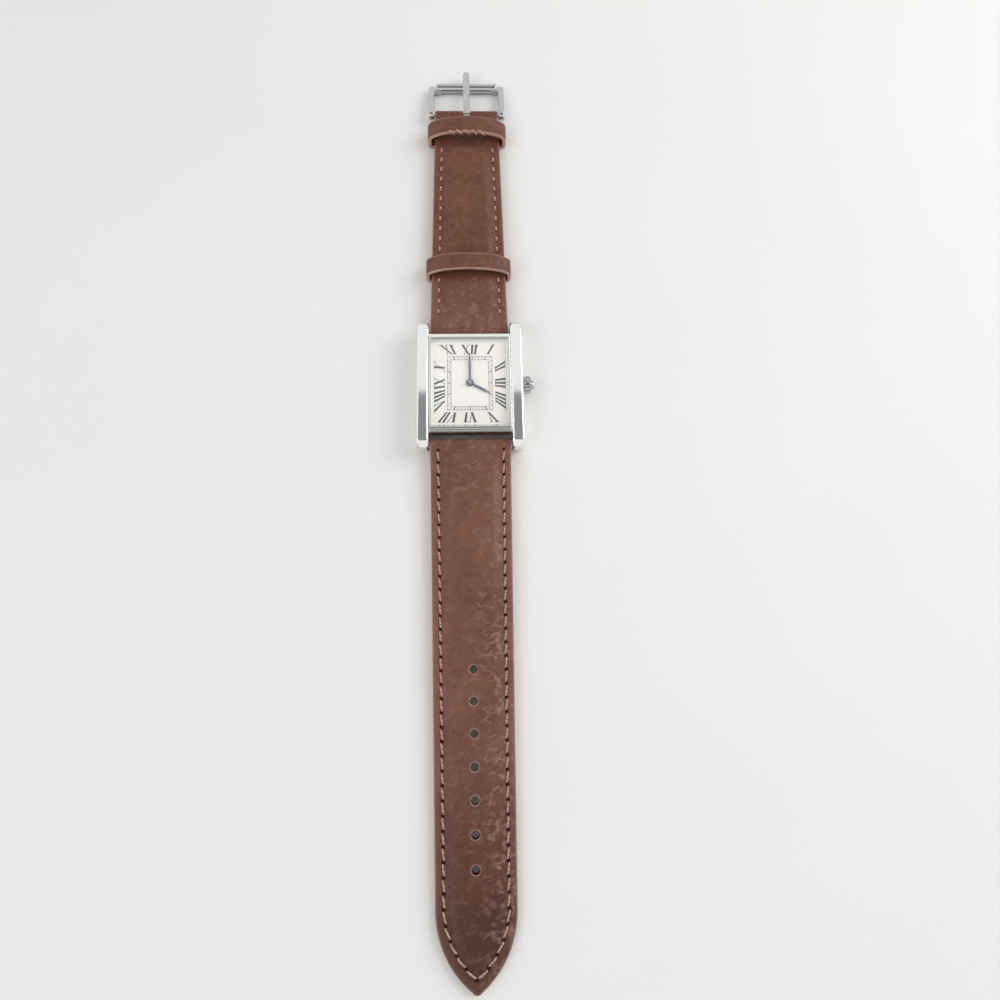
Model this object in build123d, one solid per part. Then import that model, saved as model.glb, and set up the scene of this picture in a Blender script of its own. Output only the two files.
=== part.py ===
"""A rectangular quartz dress watch with a two-piece leather strap, laid out flat with its dial up.

Millimetres. The origin is on the hands' axis, in the plane of the flat back that the watch rests on.
+Z is up through the dial, +Y points to 12 o'clock and +X to 3 o'clock, where the crown is.
The long strap half, with the holes, lies along -Y, and the half with the buckle lies along +Y.
"""

from build123d import *
import math
import os

os.makedirs("parts", exist_ok=True)

# One overrun serves every cut, so that no cut ends on a face.
overrun = 1.0

# Case: two side bars joined by a block.
case_width = 26.5
side_bar_width = 3.1
side_bar_overhang = 3.8
side_bar_crest = 6.6
side_bar_shoulder = 6.25
side_bar_shoulder_overhang = 1.25
side_bar_nose_height = 4.4
side_bar_nose_foot = 2.9
side_bar_underside = 0.3
side_bar_toe_inset = 1.3
side_bar_outer_corner = 1.9
side_bar_inner_corner = 0.8
side_bar_edge_round = 0.6
block_length = 26.3
wall_ledge_x = 0.5
wall_ledge_y = 1.75

# Case back, its seal and its four screws.
back_thickness = 0.8
back_margin_x = 0.95
back_margin_y = 0.65
back_corner = 1.4
back_clearance = 0.06
back_edge_chamfer = 0.22
seal_thickness = 0.35
seal_width = 0.45
seal_inset_y = 0.5
seal_inset_x = 2.4
seal_corner = 0.9
back_screw_inset_x = 0.75
back_screw_inset_y = 1.8
back_screw_head_radius = 0.6
back_screw_head_height = 0.34
back_screw_radius = 0.36
back_screw_length = 1.7
slot_width = 0.16
slot_depth = 0.14

# Cavity, dial and glass.
cavity_wall_x = 0.35
cavity_wall_y = 1.2
cavity_corner = 0.6
movement_float = 0.45
movement_width = 15.3
movement_length = 17.8
movement_corner = 1.6
movement_thickness = 3.1
holder_clearance = 0.06
dial_thickness = 0.4
dial_clearance = 0.1
dial_foot_radius = 0.2
dial_foot_length = 0.7
dial_foot_x = 5.6
dial_foot_y = 7.2
rehaut_depth = 1.0
glass_thickness = 1.05
glass_bevel = 0.28
glass_corner = 0.35
glass_lip_x = 0.18
glass_lip_y = 0.42
glass_seal_thickness = 0.06
glass_seal_height = 0.6
bezel_height = 0.75
bezel_side_gap = 0.03
bezel_set_back = 0.2
bezel_step_height = 0.3
bezel_step_width = 0.4
bezel_corner = 0.3
bezel_edge_round = 0.1

# Printed dial marks: a minute track between two thin frames, and skewed numerals outside it.
print_thickness = 0.03
track_gap_x = 0.65
track_gap_y = 0.6
track_band = 0.95
track_line = 0.08
track_tick = 0.07
track_hour_tick = 0.2
numeral_margin_x = 0.8
numeral_margin_y = 1.0
numeral_band = 2.6
stroke_thick = 0.5
stroke_thin = 0.15
stroke_pitch = 0.92
letter_width = 1.25
serif_reach = 0.17
serif_thickness = 0.12

# Hands.
hand_thickness = 0.12
hour_hand_lift = 0.24
hand_spacing = 0.2
hour_hand_share = 0.59
minute_hand_share = 0.829
hour_hand_width = 0.62
minute_hand_width = 0.56
hour_hub_radius = 0.95
minute_hub_radius = 0.85
hand_tip_width = 0.14
hour_hand_direction = -30
hand_shoulder_share = 0.72
cannon_rise = 0.06

# Teeth of every wheel, as shares of the module and of one tooth's angle.
tooth_tip_share = 0.85
tooth_root_share = 1.15
tooth_flank_shares = (-0.27, -0.13, 0.13, 0.27)

# Motion work, in a pocket under the dial.
cannon_teeth = 12
minute_wheel_teeth = 36
minute_pinion_teeth = 10
hour_wheel_teeth = 40
setting_wheel_teeth = 12
motion_module = 0.11
cannon_bore_radius = 0.2
cannon_pipe_radius = 0.34
hour_pipe_radius = 0.58
pipe_clearance = 0.03
dial_hole_radius = 0.75
setting_wheel_x = 4.25
setting_wheel_y = -1.12

# Going train, between the bridge and the main plate.
rotor_teeth = 10
intermediate_teeth = 60
intermediate_pinion_teeth = 8
seconds_teeth = 40
seconds_pinion_teeth = 8
third_teeth = 60
third_pinion_teeth = 8
centre_teeth = 64
rotor_module = 0.07
intermediate_module = 0.1
seconds_module = 0.075
third_module = 0.08
wheel_thickness = 0.15
train_layer = 0.31
train_clearance = 0.08
arbor_radius = 0.16
pivot_radius = 0.1
pivot_length = 0.24
pivot_clearance = 0.02
third_direction = -45
seconds_direction = 20
intermediate_direction = 100
rotor_direction = 75
magnet_radius = 0.7
magnet_height = 0.5
magnet_gap = 0.22

# Main plate, bridge and what they carry.
bridge_thickness = 0.4
bridge_margin = 0.85
floor_thickness = 0.45
pocket_clearance = 0.12
post_radius = 0.72
bridge_post_shares = ((0.85, -0.472), (-0.248, 0.348), (0.889, 0.517))
bridge_edge_shares = ((-0.092, -0.135), (0.222, -0.494))
clamp_post_shares = ((-0.013, -0.888), (-0.895, -0.107))
plate_screw_radius = 0.28
plate_screw_length = 1.1
plate_screw_head_radius = 0.55
plate_screw_head_height = 0.2
battery_radius = 3.4
battery_height = 2.15
battery_cap_radius = 2.9
battery_cap_height = 0.3
battery_x = -3.95
battery_y = -5.0
clamp_thickness = 0.15
clamp_width = 1.5
coil_y = 7.35
core_end_x = 4.5
core_width = 1.1
core_thickness = 0.4
winding_radius = 0.8
winding_length = 6.0
stator_thickness = 0.3
stator_leg = 1.0
stator_ring = 0.55
stator_return_y = 5.85
circuit_thickness = 0.25
circuit_width = 4.4
circuit_length = 4.6
circuit_x = -5.1
circuit_y = 2.65
chip_size = 1.5
chip_height = 0.5
chip_offset_x = 1.1
quartz_radius = 0.55
quartz_length = 4.0
quartz_offset_x = -1.2

# Stem, crown and keyless work.
stem_depth = 0.7
stem_radius = 0.4
stem_pilot_radius = 0.2
stem_square = 0.46
stem_neck_radius = 0.22
stem_start = 3.25
stem_square_start = 3.9
stem_square_end = 6.35
stem_neck_start = 6.55
stem_neck_width = 0.36
stem_pull = 0.6
clutch_radius = 0.55
clutch_groove_radius = 0.4
clutch_start = 4.85
clutch_length = 0.85
clutch_groove_width = 0.3
clutch_teeth = 10
clutch_tooth_depth = 0.12
lever_thickness = 0.16
lever_arm = 2.2
lever_width = 0.6
lever_finger_radius = 0.14
lever_post_radius = 0.24
crown_radius = 2.15
crown_length = 1.8
crown_gap = 0.18
crown_flutes = 12
crown_flute_radius = 0.4
crown_edge_round = 0.5
crown_bore_radius = 1.15
crown_bore_depth = 0.95
crown_cap_radius = 1.15
crown_cap_height = 0.95
crown_cap_round = 0.75
crown_seal_length = 0.35
crown_stem_depth = 0.5
tube_radius = 0.85
tube_bore_radius = 0.46
tube_reach = 0.9
running_clearance = 0.04

# Spring bars at the lugs.
lug_bar_offset = 2.45
lug_bar_height = 2.45
bar_radius = 0.85
bar_wall = 0.25
bar_end_gap = 0.1
bar_tip_radius = 0.4
bar_tip_reach = 0.8
bar_cap = 0.35
bar_tip_collar_radius = 0.55
bar_tip_collar = 0.5
bar_tip_travel = 0.75
bar_hole_extra = 0.2
bar_spring_gap = 0.1
bar_spring_wall = 0.14

# Strap, both halves.
strap_side_gap = 0.25
strap_loop_radius = 1.8
strap_bore_clearance = 0.06
lining_thickness = 0.7
pad_inset = 2.3
pad_side_angle = 30
pad_insert_inset = 1.3
pad_start = 1.0
skin_thickness = 0.7

# Long half, on the table.
long_length = 119.9
long_tip_taper = 2.3
long_tip_length = 16.0
long_tip_blunt = 0.95
long_tip_blunt_length = 0.45
tip_inset_share = 1.6
long_settle = 9.0
long_edge_near = 2.9
long_edge_far = 1.75
long_pad_near = 3.75
long_pad_mid = 2.75
long_pad_far = 2.25
long_near_length = 8.0
long_mid_length = 46.0
hole_first = 53.9
hole_pitch = 7.0
hole_count = 7
hole_radius = 0.92

# Short half, carried on its keepers.
short_length = 66.8
short_end_radius = 1.05
short_end_taper = 2.4
short_underside = 1.2
short_settle = 9.0
short_edge_near = 3.5
short_edge_far = 3.0
short_pad_near = 4.15
short_pad_far = 3.6
short_near_length = 9.0
short_pad_tail = 10.8
short_fold_length = 3.0

# Keepers.
free_keeper_width = 4.5
free_keeper_margin = 1.15
free_keeper_thickness = 1.0
free_keeper_offset = 17.7
fixed_keeper_width = 5.0
fixed_keeper_margin = 0.85
fixed_keeper_thickness = 1.1
fixed_keeper_inset = 7.0
keeper_height = 7.2
keeper_shoulder = 3.3
keeper_corner = 1.5

# Buckle.
pin_radius = 0.6
pin_clearance = 0.05
pin_grip = 0.9
buckle_side_clearance = 0.3
buckle_arm_width = 1.5
buckle_arm_height = 1.7
buckle_eye_radius = 1.3
buckle_reach = 10
buckle_front_radius = 1.25
buckle_front_inset = 2.05
buckle_corner_depth = 1.5
buckle_round = 0.3
tongue_width = 1.8
tongue_thickness = 0.95
tongue_overhang = 3.9
tongue_wall = 0.5
tongue_gap = 0.06
tongue_slot_clearance = 0.12
tongue_slot_swing = 0.6
tongue_round = 0.3
tongue_tip_share = 0.9

# Heights of the stack, each from the one below it.
movement_bottom = back_thickness + movement_float
dial_bottom = movement_bottom + movement_thickness
dial_top = dial_bottom + dial_thickness
glass_bottom = dial_top + rehaut_depth
bezel_top = glass_bottom + bezel_height
hour_hand_bottom = dial_top + hour_hand_lift
minute_hand_bottom = hour_hand_bottom + hand_thickness + hand_spacing
stem_height = dial_bottom - stem_depth

# Plan sizes of the case.
half_case = case_width / 2
lug_gap = case_width - 2 * side_bar_width
side_bar_length = block_length + 2 * side_bar_overhang
side_bar_shoulder_length = block_length + 2 * side_bar_shoulder_overhang
side_bar_toe_length = side_bar_length - 2 * side_bar_toe_inset
back_width = case_width - 2 * back_margin_x
back_length = block_length - 2 * back_margin_y
lug_bar_y = block_length / 2 + lug_bar_offset
opening_width = lug_gap - 2 * wall_ledge_x
opening_length = block_length - 2 * wall_ledge_y
glass_width = opening_width + 2 * glass_lip_x
glass_length = opening_length + 2 * glass_lip_y
cavity_width = lug_gap - 2 * cavity_wall_x
cavity_length = block_length - 2 * cavity_wall_y

# Plan sizes of the dial's print and of the hands, from the opening.
numeral_outer_width = opening_width - 2 * numeral_margin_x
numeral_outer_length = opening_length - 2 * numeral_margin_y
track_outer_width = numeral_outer_width - 2 * (numeral_band + track_gap_x)
track_outer_length = numeral_outer_length - 2 * (numeral_band + track_gap_y)
hour_hand_length = hour_hand_share * opening_width / 2
minute_hand_length = minute_hand_share * opening_width / 2

# Plan sizes of the strap, its keepers and its buckle, from the gap between the side bars.
strap_width = lug_gap - 2 * strap_side_gap
long_tip_width = strap_width - long_tip_taper
short_end_width = strap_width - short_end_taper
buckle_pin_y = lug_bar_y + short_length
free_keeper_outer = strap_width + 2 * free_keeper_margin
free_keeper_y = lug_bar_y + free_keeper_offset
fixed_keeper_outer = strap_width + 2 * fixed_keeper_margin
fixed_keeper_y = buckle_pin_y - fixed_keeper_inset
buckle_inner = short_end_width + 2 * buckle_side_clearance
buckle_outer = buckle_inner + 2 * buckle_arm_width
buckle_front_width = buckle_outer - 2 * buckle_front_inset

# Heights in the movement, from the bridge up.
bridge_top = movement_bottom + bridge_thickness
intermediate_level = bridge_top + train_clearance
seconds_level = intermediate_level + train_layer
third_level = seconds_level + train_layer
centre_level = third_level + train_layer
plate_bottom = centre_level + wheel_thickness + train_clearance
pocket_floor = plate_bottom + floor_thickness
minute_wheel_level = pocket_floor + train_clearance
hour_wheel_level = minute_wheel_level + wheel_thickness + train_clearance
stator_bottom = plate_bottom - stator_thickness
coil_height = stator_bottom - core_thickness / 2
battery_bottom = movement_bottom + clamp_thickness

STANDING = (Align.CENTER, Align.CENTER, Align.MIN)


def disc(radius, low, high, place=(0, 0)):
    """A round solid standing along Z."""
    return Pos(place[0], place[1], low) * Cylinder(radius, high - low, align=STANDING)


def rod(radius, start, end, y, z):
    """A round solid lying along X."""
    return Pos(start, y, z) * Rot(0, 90, 0) * Cylinder(radius, end - start, align=STANDING)


def slab(width, length, low, high, corner=0, place=(0, 0)):
    """A plate with its plan centred on a place."""
    plan = RectangleRounded(width, length, corner) if corner else Rectangle(width, length)
    return extrude(Pos(place[0], place[1], low) * plan, high - low)


def block(x_low, x_high, y_low, y_high, z_low, z_high):
    """A box between six planes."""
    size = (x_high - x_low, y_high - y_low, z_high - z_low)
    return Pos(x_low, y_low, z_low) * Box(*size, align=(Align.MIN, Align.MIN, Align.MIN))


def polar(distance, degrees, start=(0, 0)):
    """The point at a distance and direction from a start."""
    angle = math.radians(degrees)
    return start[0] + distance * math.cos(angle), start[1] + distance * math.sin(angle)


def direction(start, end):
    """The direction from one point to another, in degrees."""
    return math.degrees(math.atan2(end[1] - start[1], end[0] - start[0]))


def strip(start, end, width, low, high):
    """A straight flat bar with round ends, between two places."""
    middle = ((start[0] + end[0]) / 2, (start[1] + end[1]) / 2)
    plan = SlotCenterToCenter(math.dist(start, end), width)
    return extrude(Pos(middle[0], middle[1], low) * Rot(0, 0, direction(start, end)) * plan, high - low)


def wheel(teeth, module, low, high, place=(0, 0), toward=0):
    """A toothed disc, with the middle of one tooth facing a direction."""
    pitch_radius = teeth * module / 2
    tip_radius = pitch_radius + tooth_tip_share * module
    root_radius = pitch_radius - tooth_root_share * module
    radii = (root_radius, tip_radius, tip_radius, root_radius)
    step = 360 / teeth
    corners = []
    for tooth in range(teeth):
        for radius, share in zip(radii, tooth_flank_shares):
            corners.append(polar(radius, toward + (tooth + share) * step))
    plan = make_face(Polyline(*corners, close=True))
    return extrude(Pos(place[0], place[1], low) * plan, high - low)


def gap_toward(teeth, facing):
    """The tooth direction that leaves a gap, not a tooth, facing a direction."""
    return facing + 180 / teeth


def one_node(name, *pieces):
    """Write one piece, or a group of alike pieces, as a named file."""
    shape = pieces[0] if len(pieces) == 1 else Compound(children=list(pieces))
    export_step(shape, os.path.join("parts", name + ".step"))


# Case

def side_bar():
    """The right-hand bar: a low arched profile whose ends are rounded in plan."""
    half = side_bar_length / 2
    shoulder = side_bar_shoulder_length / 2
    toe = side_bar_toe_length / 2
    crest = ThreePointArc(
        (-shoulder, side_bar_shoulder), (0, side_bar_crest), (shoulder, side_bar_shoulder)
    )
    nose = TangentArc((shoulder, side_bar_shoulder), (half, side_bar_nose_height), tangent=crest % 1)
    sole = Polyline(
        (half, side_bar_nose_height),
        (half, side_bar_nose_foot),
        (toe, side_bar_underside),
        (-toe, side_bar_underside),
        (-half, side_bar_nose_foot),
        (-half, side_bar_nose_height),
    )
    outline = make_face(crest.edges() + nose.edges() + sole.edges() + mirror(nose, Plane.YZ).edges())
    inner = lug_gap / 2
    profile = Pos(inner, 0, 0) * extrude(Plane.YZ * outline, side_bar_width)
    plan = Pos(inner + side_bar_width / 2, 0, 0) * Rectangle(side_bar_width, side_bar_length)
    corners = plan.vertices().sort_by(Axis.X)
    plan = fillet(corners[:2], side_bar_inner_corner)
    plan = fillet(plan.vertices().sort_by(Axis.X)[-2:], side_bar_outer_corner)
    bar = profile & extrude(plan, side_bar_crest)
    top_faces = bar.faces().filter_by(lambda face: face.normal_at().Z > side_bar_edge_round)
    return fillet(top_faces.edges(), side_bar_edge_round)


def lug_hole_depth():
    """How far each lug hole runs into the side bar."""
    return bar_tip_reach + bar_hole_extra


def case_body():
    bar = side_bar()
    body = bar + mirror(bar, Plane.YZ)
    body += slab(lug_gap + 2 * running_clearance, block_length, back_thickness, glass_bottom)
    seat_width = back_width + 2 * back_clearance
    seat_length = back_length + 2 * back_clearance
    body -= slab(seat_width, seat_length, -overrun, back_thickness, back_corner)
    body -= slab(cavity_width, cavity_length, 0, dial_top, cavity_corner)
    body -= slab(opening_width, opening_length, 0, glass_bottom + overrun, cavity_corner)
    body -= seal_ring(back_thickness - overrun)
    body -= rod(tube_radius, 0, case_width, 0, stem_height)
    for x, y in back_screw_places():
        body -= disc(back_screw_radius, 0, back_screw_length, (x, y))
    hole = bar_tip_radius + running_clearance
    for y in (-lug_bar_y, lug_bar_y):
        reach = lug_gap / 2 + lug_hole_depth()
        body -= rod(hole, -reach, reach, y, lug_bar_height)
    return body


def ring(width, length, wall_x, wall_y, low, high, corner, inner_corner):
    """A rectangular frame with rounded corners."""
    inner = slab(width - 2 * wall_x, length - 2 * wall_y, low - overrun, high + overrun, inner_corner)
    return slab(width, length, low, high, corner) - inner


def seal_ring(low):
    """The back's seal, or with a lower bottom the groove that it fills."""
    width = case_width - 2 * seal_inset_x
    length = block_length - 2 * seal_inset_y
    high = back_thickness + seal_thickness
    inner_corner = seal_corner - seal_width
    return ring(width, length, seal_width, seal_width, low, high, seal_corner, inner_corner)


def back_screw_places():
    x = back_width / 2 - back_screw_inset_x
    y = back_length / 2 - back_screw_inset_y
    return [(x, y), (-x, y), (x, -y), (-x, -y)]


def slotted_screw(head_radius, head_height, shank_radius, length, place, head_bottom):
    """A flat screw whose head faces down, with its shank above."""
    head = disc(head_radius, head_bottom, head_bottom + head_height, place)
    shank = disc(shank_radius, head_bottom + head_height, head_bottom + length, place)
    slot_length = 2 * head_radius + overrun
    slot_top = head_bottom + slot_depth
    return head + shank - slab(slot_length, slot_width, head_bottom - overrun, slot_top, 0, place)


def case_back():
    plate = slab(back_width, back_length, 0, back_thickness, back_corner)
    plate = chamfer(plate.faces().sort_by(Axis.Z)[0].edges(), back_edge_chamfer)
    head_hole = back_screw_head_radius + running_clearance
    for place in back_screw_places():
        plate -= disc(head_hole, -overrun, back_screw_head_height, place)
        plate -= disc(back_screw_radius + running_clearance, 0, back_thickness + overrun, place)
    return plate


def case_back_screws():
    return [
        slotted_screw(
            back_screw_head_radius,
            back_screw_head_height,
            back_screw_radius,
            back_screw_length,
            place,
            0,
        )
        for place in back_screw_places()
    ]


def bezel():
    """A stepped frame on the block: its inner wall holds the glass and its seal."""
    width = lug_gap - 2 * bezel_side_gap
    length = block_length - 2 * bezel_set_back
    step = bezel_top - bezel_step_height
    base = slab(width, length, glass_bottom, step, bezel_corner)
    crown = slab(width, length - 2 * bezel_step_width, step, bezel_top, bezel_corner)
    window = slab(
        glass_width + 2 * glass_seal_thickness,
        glass_length + 2 * glass_seal_thickness,
        glass_bottom - overrun,
        bezel_top + overrun,
        glass_corner + glass_seal_thickness,
    )
    frame = base + crown - window
    top_edges = frame.edges().filter_by_position(Axis.Z, bezel_top, bezel_top)
    step_edges = frame.edges().filter_by_position(Axis.Z, step, step).filter_by(Axis.X)
    outer_edges = step_edges.sort_by(Axis.Y)
    return fillet(top_edges + [outer_edges[0], outer_edges[-1]], bezel_edge_round)


def crystal():
    glass = slab(glass_width, glass_length, glass_bottom, glass_bottom + glass_thickness, glass_corner)
    return chamfer(glass.faces().sort_by(Axis.Z)[-1].edges(), glass_bevel)


def crystal_gasket():
    seal = glass_seal_thickness
    return ring(
        glass_width + 2 * seal,
        glass_length + 2 * seal,
        seal,
        seal,
        glass_bottom,
        glass_bottom + glass_seal_height,
        glass_corner + seal,
        glass_corner,
    )


def movement_holder():
    """A plastic frame that fills the cavity round the movement and carries the dial."""
    outer_width = cavity_width - 2 * holder_clearance
    outer_length = cavity_length - 2 * holder_clearance
    frame = slab(outer_width, outer_length, back_thickness, dial_bottom, cavity_corner)
    frame -= slab(
        movement_width + 2 * holder_clearance,
        movement_length + 2 * holder_clearance,
        0,
        dial_top,
        movement_corner + holder_clearance,
    )
    return frame - rod(tube_radius, 0, case_width, 0, stem_height)


def dial():
    width = cavity_width - dial_clearance
    length = cavity_length - dial_clearance
    plate = slab(width, length, dial_bottom, dial_top, cavity_corner)
    plate -= disc(dial_hole_radius, 0, dial_top + overrun)
    for place in dial_foot_places():
        plate += disc(dial_foot_radius, dial_bottom - dial_foot_length, dial_bottom, place)
    return plate


def dial_foot_places():
    return [(-dial_foot_x, dial_foot_y), (dial_foot_x, -dial_foot_y)]


# Printed marks on the dial

def frame_line(width, length, line):
    return ring(width, length, line, line, dial_top, dial_top + print_thickness, 0, 0)


def minute_track():
    """Two thin frames with sixty radial ticks between them, heavier at the hours."""
    inner_width = track_outer_width - 2 * track_band
    inner_length = track_outer_length - 2 * track_band
    outer = slab(track_outer_width, track_outer_length, dial_top, dial_top + print_thickness)
    inner = slab(inner_width, inner_length, dial_top - overrun, dial_top + overrun)
    band = outer - inner
    ticks = []
    for minute in range(60):
        width = track_hour_tick if minute % 5 == 0 else track_tick
        ray = slab(track_outer_length, width, dial_top, dial_top + print_thickness)
        ticks.append(band & Rot(0, 0, 6 * minute) * Pos(track_outer_length / 2, 0, 0) * ray)
    frames = frame_line(track_outer_width, track_outer_length, track_line)
    frames += frame_line(inner_width + 2 * track_line, inner_length + 2 * track_line, track_line)
    return frames + ticks


# Where each stroke of a letter stands at its foot and head, as shares of the letter's width.
letter_shares = {
    "I": ((0, 0, "thick"),),
    "V": ((0.5, 0, "thick"), (0.5, 1, "thin")),
    "X": ((1, 0, "thick"), (0, 1, "thin")),
}
HOUR_NUMERALS = ("XII", "I", "II", "III", "IIII", "V", "VI", "VII", "VIII", "IX", "X", "XI")


def numeral_strokes(text):
    """The strokes of a numeral as foot, head and thickness, centred on its middle."""
    strokes = []
    cursor = 0
    for letter in text:
        width = 0 if letter == "I" else letter_width
        for foot, head, kind in letter_shares[letter]:
            thickness = stroke_thick if kind == "thick" else stroke_thin
            strokes.append((cursor + foot * width, cursor + head * width, thickness))
        cursor += width + stroke_pitch
    middle = (cursor - stroke_pitch) / 2
    return [(foot - middle, head - middle, thickness) for foot, head, thickness in strokes]


def numeral(hour):
    """One numeral in the rectangular band, its feet to the centre and its strokes along the rays."""
    side = round(hour / 3) % 4
    outward = (math.sin(math.radians(90 * side)), math.cos(math.radians(90 * side)))
    clockwise = (outward[1], -outward[0])
    outer = numeral_outer_length / 2 if side % 2 == 0 else numeral_outer_width / 2
    middle = outer - numeral_band / 2
    place = middle * math.tan(math.radians(30 * hour - 90 * side))

    def on_dial(across, up):
        """A point of the numeral, drawn in to the centre as it nears the feet."""
        shrink = (middle + up) / middle
        return tuple(shrink * (outward[i] * middle + clockwise[i] * (place + across)) for i in range(2))

    def bar(foot, head, foot_thickness, low, high):
        """A straight stroke between two heights."""
        half = foot_thickness / 2
        corners = ((foot - half, low), (foot + half, low), (head + half, high), (head - half, high))
        return make_face(Polyline(*[on_dial(*corner) for corner in corners], close=True))

    half_band = numeral_band / 2
    plan = Sketch()
    for foot, head, thickness in numeral_strokes(HOUR_NUMERALS[hour]):
        plan += bar(foot, head, thickness, -half_band, half_band)
        serif = thickness + 2 * serif_reach
        plan += bar(foot, foot, serif, -half_band, serif_thickness - half_band)
        plan += bar(head, head, serif, half_band - serif_thickness, half_band)
    return extrude(Pos(0, 0, dial_top) * plan, print_thickness)


def dial_numerals():
    return [solid for hour in range(12) for solid in numeral(hour).solids()]


# Hands and motion work

def hand(length, width, hub_radius, bore_radius, bottom):
    """A flat tapering hand along +Y with a round hub."""
    blade = make_face(
        Polyline(
            (-width / 2, 0),
            (-width / 2, length * hand_shoulder_share),
            (-hand_tip_width / 2, length),
            (hand_tip_width / 2, length),
            (width / 2, length * hand_shoulder_share),
            (width / 2, 0),
            close=True,
        )
    )
    top = bottom + hand_thickness
    body = extrude(Pos(0, 0, bottom) * blade, hand_thickness) + disc(hub_radius, bottom, top)
    return body - disc(bore_radius, bottom - overrun, top + overrun)


def minute_hand():
    return hand(
        minute_hand_length,
        minute_hand_width,
        minute_hub_radius,
        cannon_pipe_radius,
        minute_hand_bottom,
    )


def hour_hand():
    blade = hand(
        hour_hand_length, hour_hand_width, hour_hub_radius, hour_pipe_radius, hour_hand_bottom
    )
    return Rot(0, 0, hour_hand_direction - 90) * blade


motion_distance = motion_module * (cannon_teeth + minute_wheel_teeth) / 2
hour_module = 2 * motion_distance / (minute_pinion_teeth + hour_wheel_teeth)
setting_distance = motion_module * (setting_wheel_teeth + minute_wheel_teeth) / 2
setting_place = (setting_wheel_x, setting_wheel_y)


def minute_wheel_place():
    """The place that is one mesh away from both the hands' axis and the setting wheel."""
    span = math.hypot(*setting_place)
    along = (motion_distance ** 2 - setting_distance ** 2 + span ** 2) / (2 * span)
    aside = math.sqrt(motion_distance ** 2 - along ** 2)
    heading = direction((0, 0), setting_place)
    return polar(aside, heading - 90, polar(along, heading))


minute_place = minute_wheel_place()


def tip_radius(teeth, module):
    return teeth * module / 2 + tooth_tip_share * module


def cannon_pinion():
    facing = gap_toward(cannon_teeth, direction((0, 0), minute_place))
    top = minute_wheel_level + wheel_thickness
    pinion = wheel(cannon_teeth, motion_module, minute_wheel_level, top, (0, 0), facing)
    pipe_top = minute_hand_bottom + hand_thickness + cannon_rise
    pipe = disc(cannon_pipe_radius, minute_wheel_level, pipe_top)
    bore = disc(cannon_bore_radius, pocket_floor, glass_bottom)
    return pinion + pipe - bore


def hour_wheel():
    top = hour_wheel_level + wheel_thickness
    facing = direction((0, 0), minute_place)
    teeth = wheel(hour_wheel_teeth, hour_module, hour_wheel_level, top, (0, 0), facing)
    pipe = disc(hour_pipe_radius, hour_wheel_level, hour_hand_bottom + hand_thickness)
    return teeth + pipe - disc(cannon_pipe_radius + pipe_clearance, pocket_floor, glass_bottom)


def minute_wheel():
    """The wheel with its pinion above, turning on a post of the main plate."""
    back = direction(minute_place, (0, 0))
    top = minute_wheel_level + wheel_thickness
    teeth = wheel(minute_wheel_teeth, motion_module, minute_wheel_level, top, minute_place, back)
    facing = gap_toward(minute_pinion_teeth, back)
    pinion_top = hour_wheel_level + wheel_thickness
    pinion = wheel(minute_pinion_teeth, hour_module, top, pinion_top, minute_place, facing)
    return teeth + pinion - disc(arbor_radius + pivot_clearance, pocket_floor, dial_bottom, minute_place)


def setting_wheel():
    back = direction(setting_place, minute_place)
    facing = gap_toward(setting_wheel_teeth, back)
    top = minute_wheel_level + wheel_thickness
    teeth = wheel(setting_wheel_teeth, motion_module, minute_wheel_level, top, setting_place, facing)
    return teeth - disc(arbor_radius + pivot_clearance, pocket_floor, dial_bottom, setting_place)


# Going train

third_place = polar(third_module * (centre_teeth + third_pinion_teeth) / 2, third_direction)
seconds_place = polar(
    seconds_module * (third_teeth + seconds_pinion_teeth) / 2, seconds_direction, third_place
)
intermediate_place = polar(
    intermediate_module * (seconds_teeth + intermediate_pinion_teeth) / 2,
    intermediate_direction,
    seconds_place,
)
rotor_place = polar(
    rotor_module * (intermediate_teeth + rotor_teeth) / 2, rotor_direction, intermediate_place
)
magnet_top = plate_bottom - train_clearance


def arbor(place):
    """A plain shaft between bridge and plate, with a thinner pivot at each end."""
    shake = train_clearance / 2
    shaft = disc(arbor_radius, bridge_top + shake, plate_bottom - shake, place)
    return shaft + disc(pivot_radius, bridge_top - pivot_length, plate_bottom + pivot_length, place)


def train_wheel(
    place, level, teeth, module, facing, pinion_level, pinion_teeth, pinion_module, pinion_facing
):
    """A wheel and its pinion on one arbor."""
    body = arbor(place)
    body += wheel(teeth, module, level, level + wheel_thickness, place, facing)
    gap = gap_toward(pinion_teeth, pinion_facing)
    return body + wheel(pinion_teeth, pinion_module, pinion_level, pinion_level + wheel_thickness, place, gap)


def centre_wheel():
    """The wheel that turns once an hour, on the shaft that carries the cannon pinion."""
    facing = direction((0, 0), third_place)
    teeth = wheel(centre_teeth, third_module, centre_level, centre_level + wheel_thickness, (0, 0), facing)
    shaft = disc(arbor_radius, bridge_top + train_clearance / 2, centre_level)
    pivot = disc(pivot_radius, bridge_top - pivot_length, centre_level)
    post = disc(cannon_bore_radius, centre_level, minute_hand_bottom + hand_thickness)
    return teeth + shaft + pivot + post


def third_wheel():
    return train_wheel(
        third_place,
        third_level,
        third_teeth,
        seconds_module,
        direction(third_place, seconds_place),
        centre_level,
        third_pinion_teeth,
        third_module,
        direction(third_place, (0, 0)),
    )


def seconds_wheel():
    return train_wheel(
        seconds_place,
        seconds_level,
        seconds_teeth,
        intermediate_module,
        direction(seconds_place, intermediate_place),
        third_level,
        seconds_pinion_teeth,
        seconds_module,
        direction(seconds_place, third_place),
    )


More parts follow.
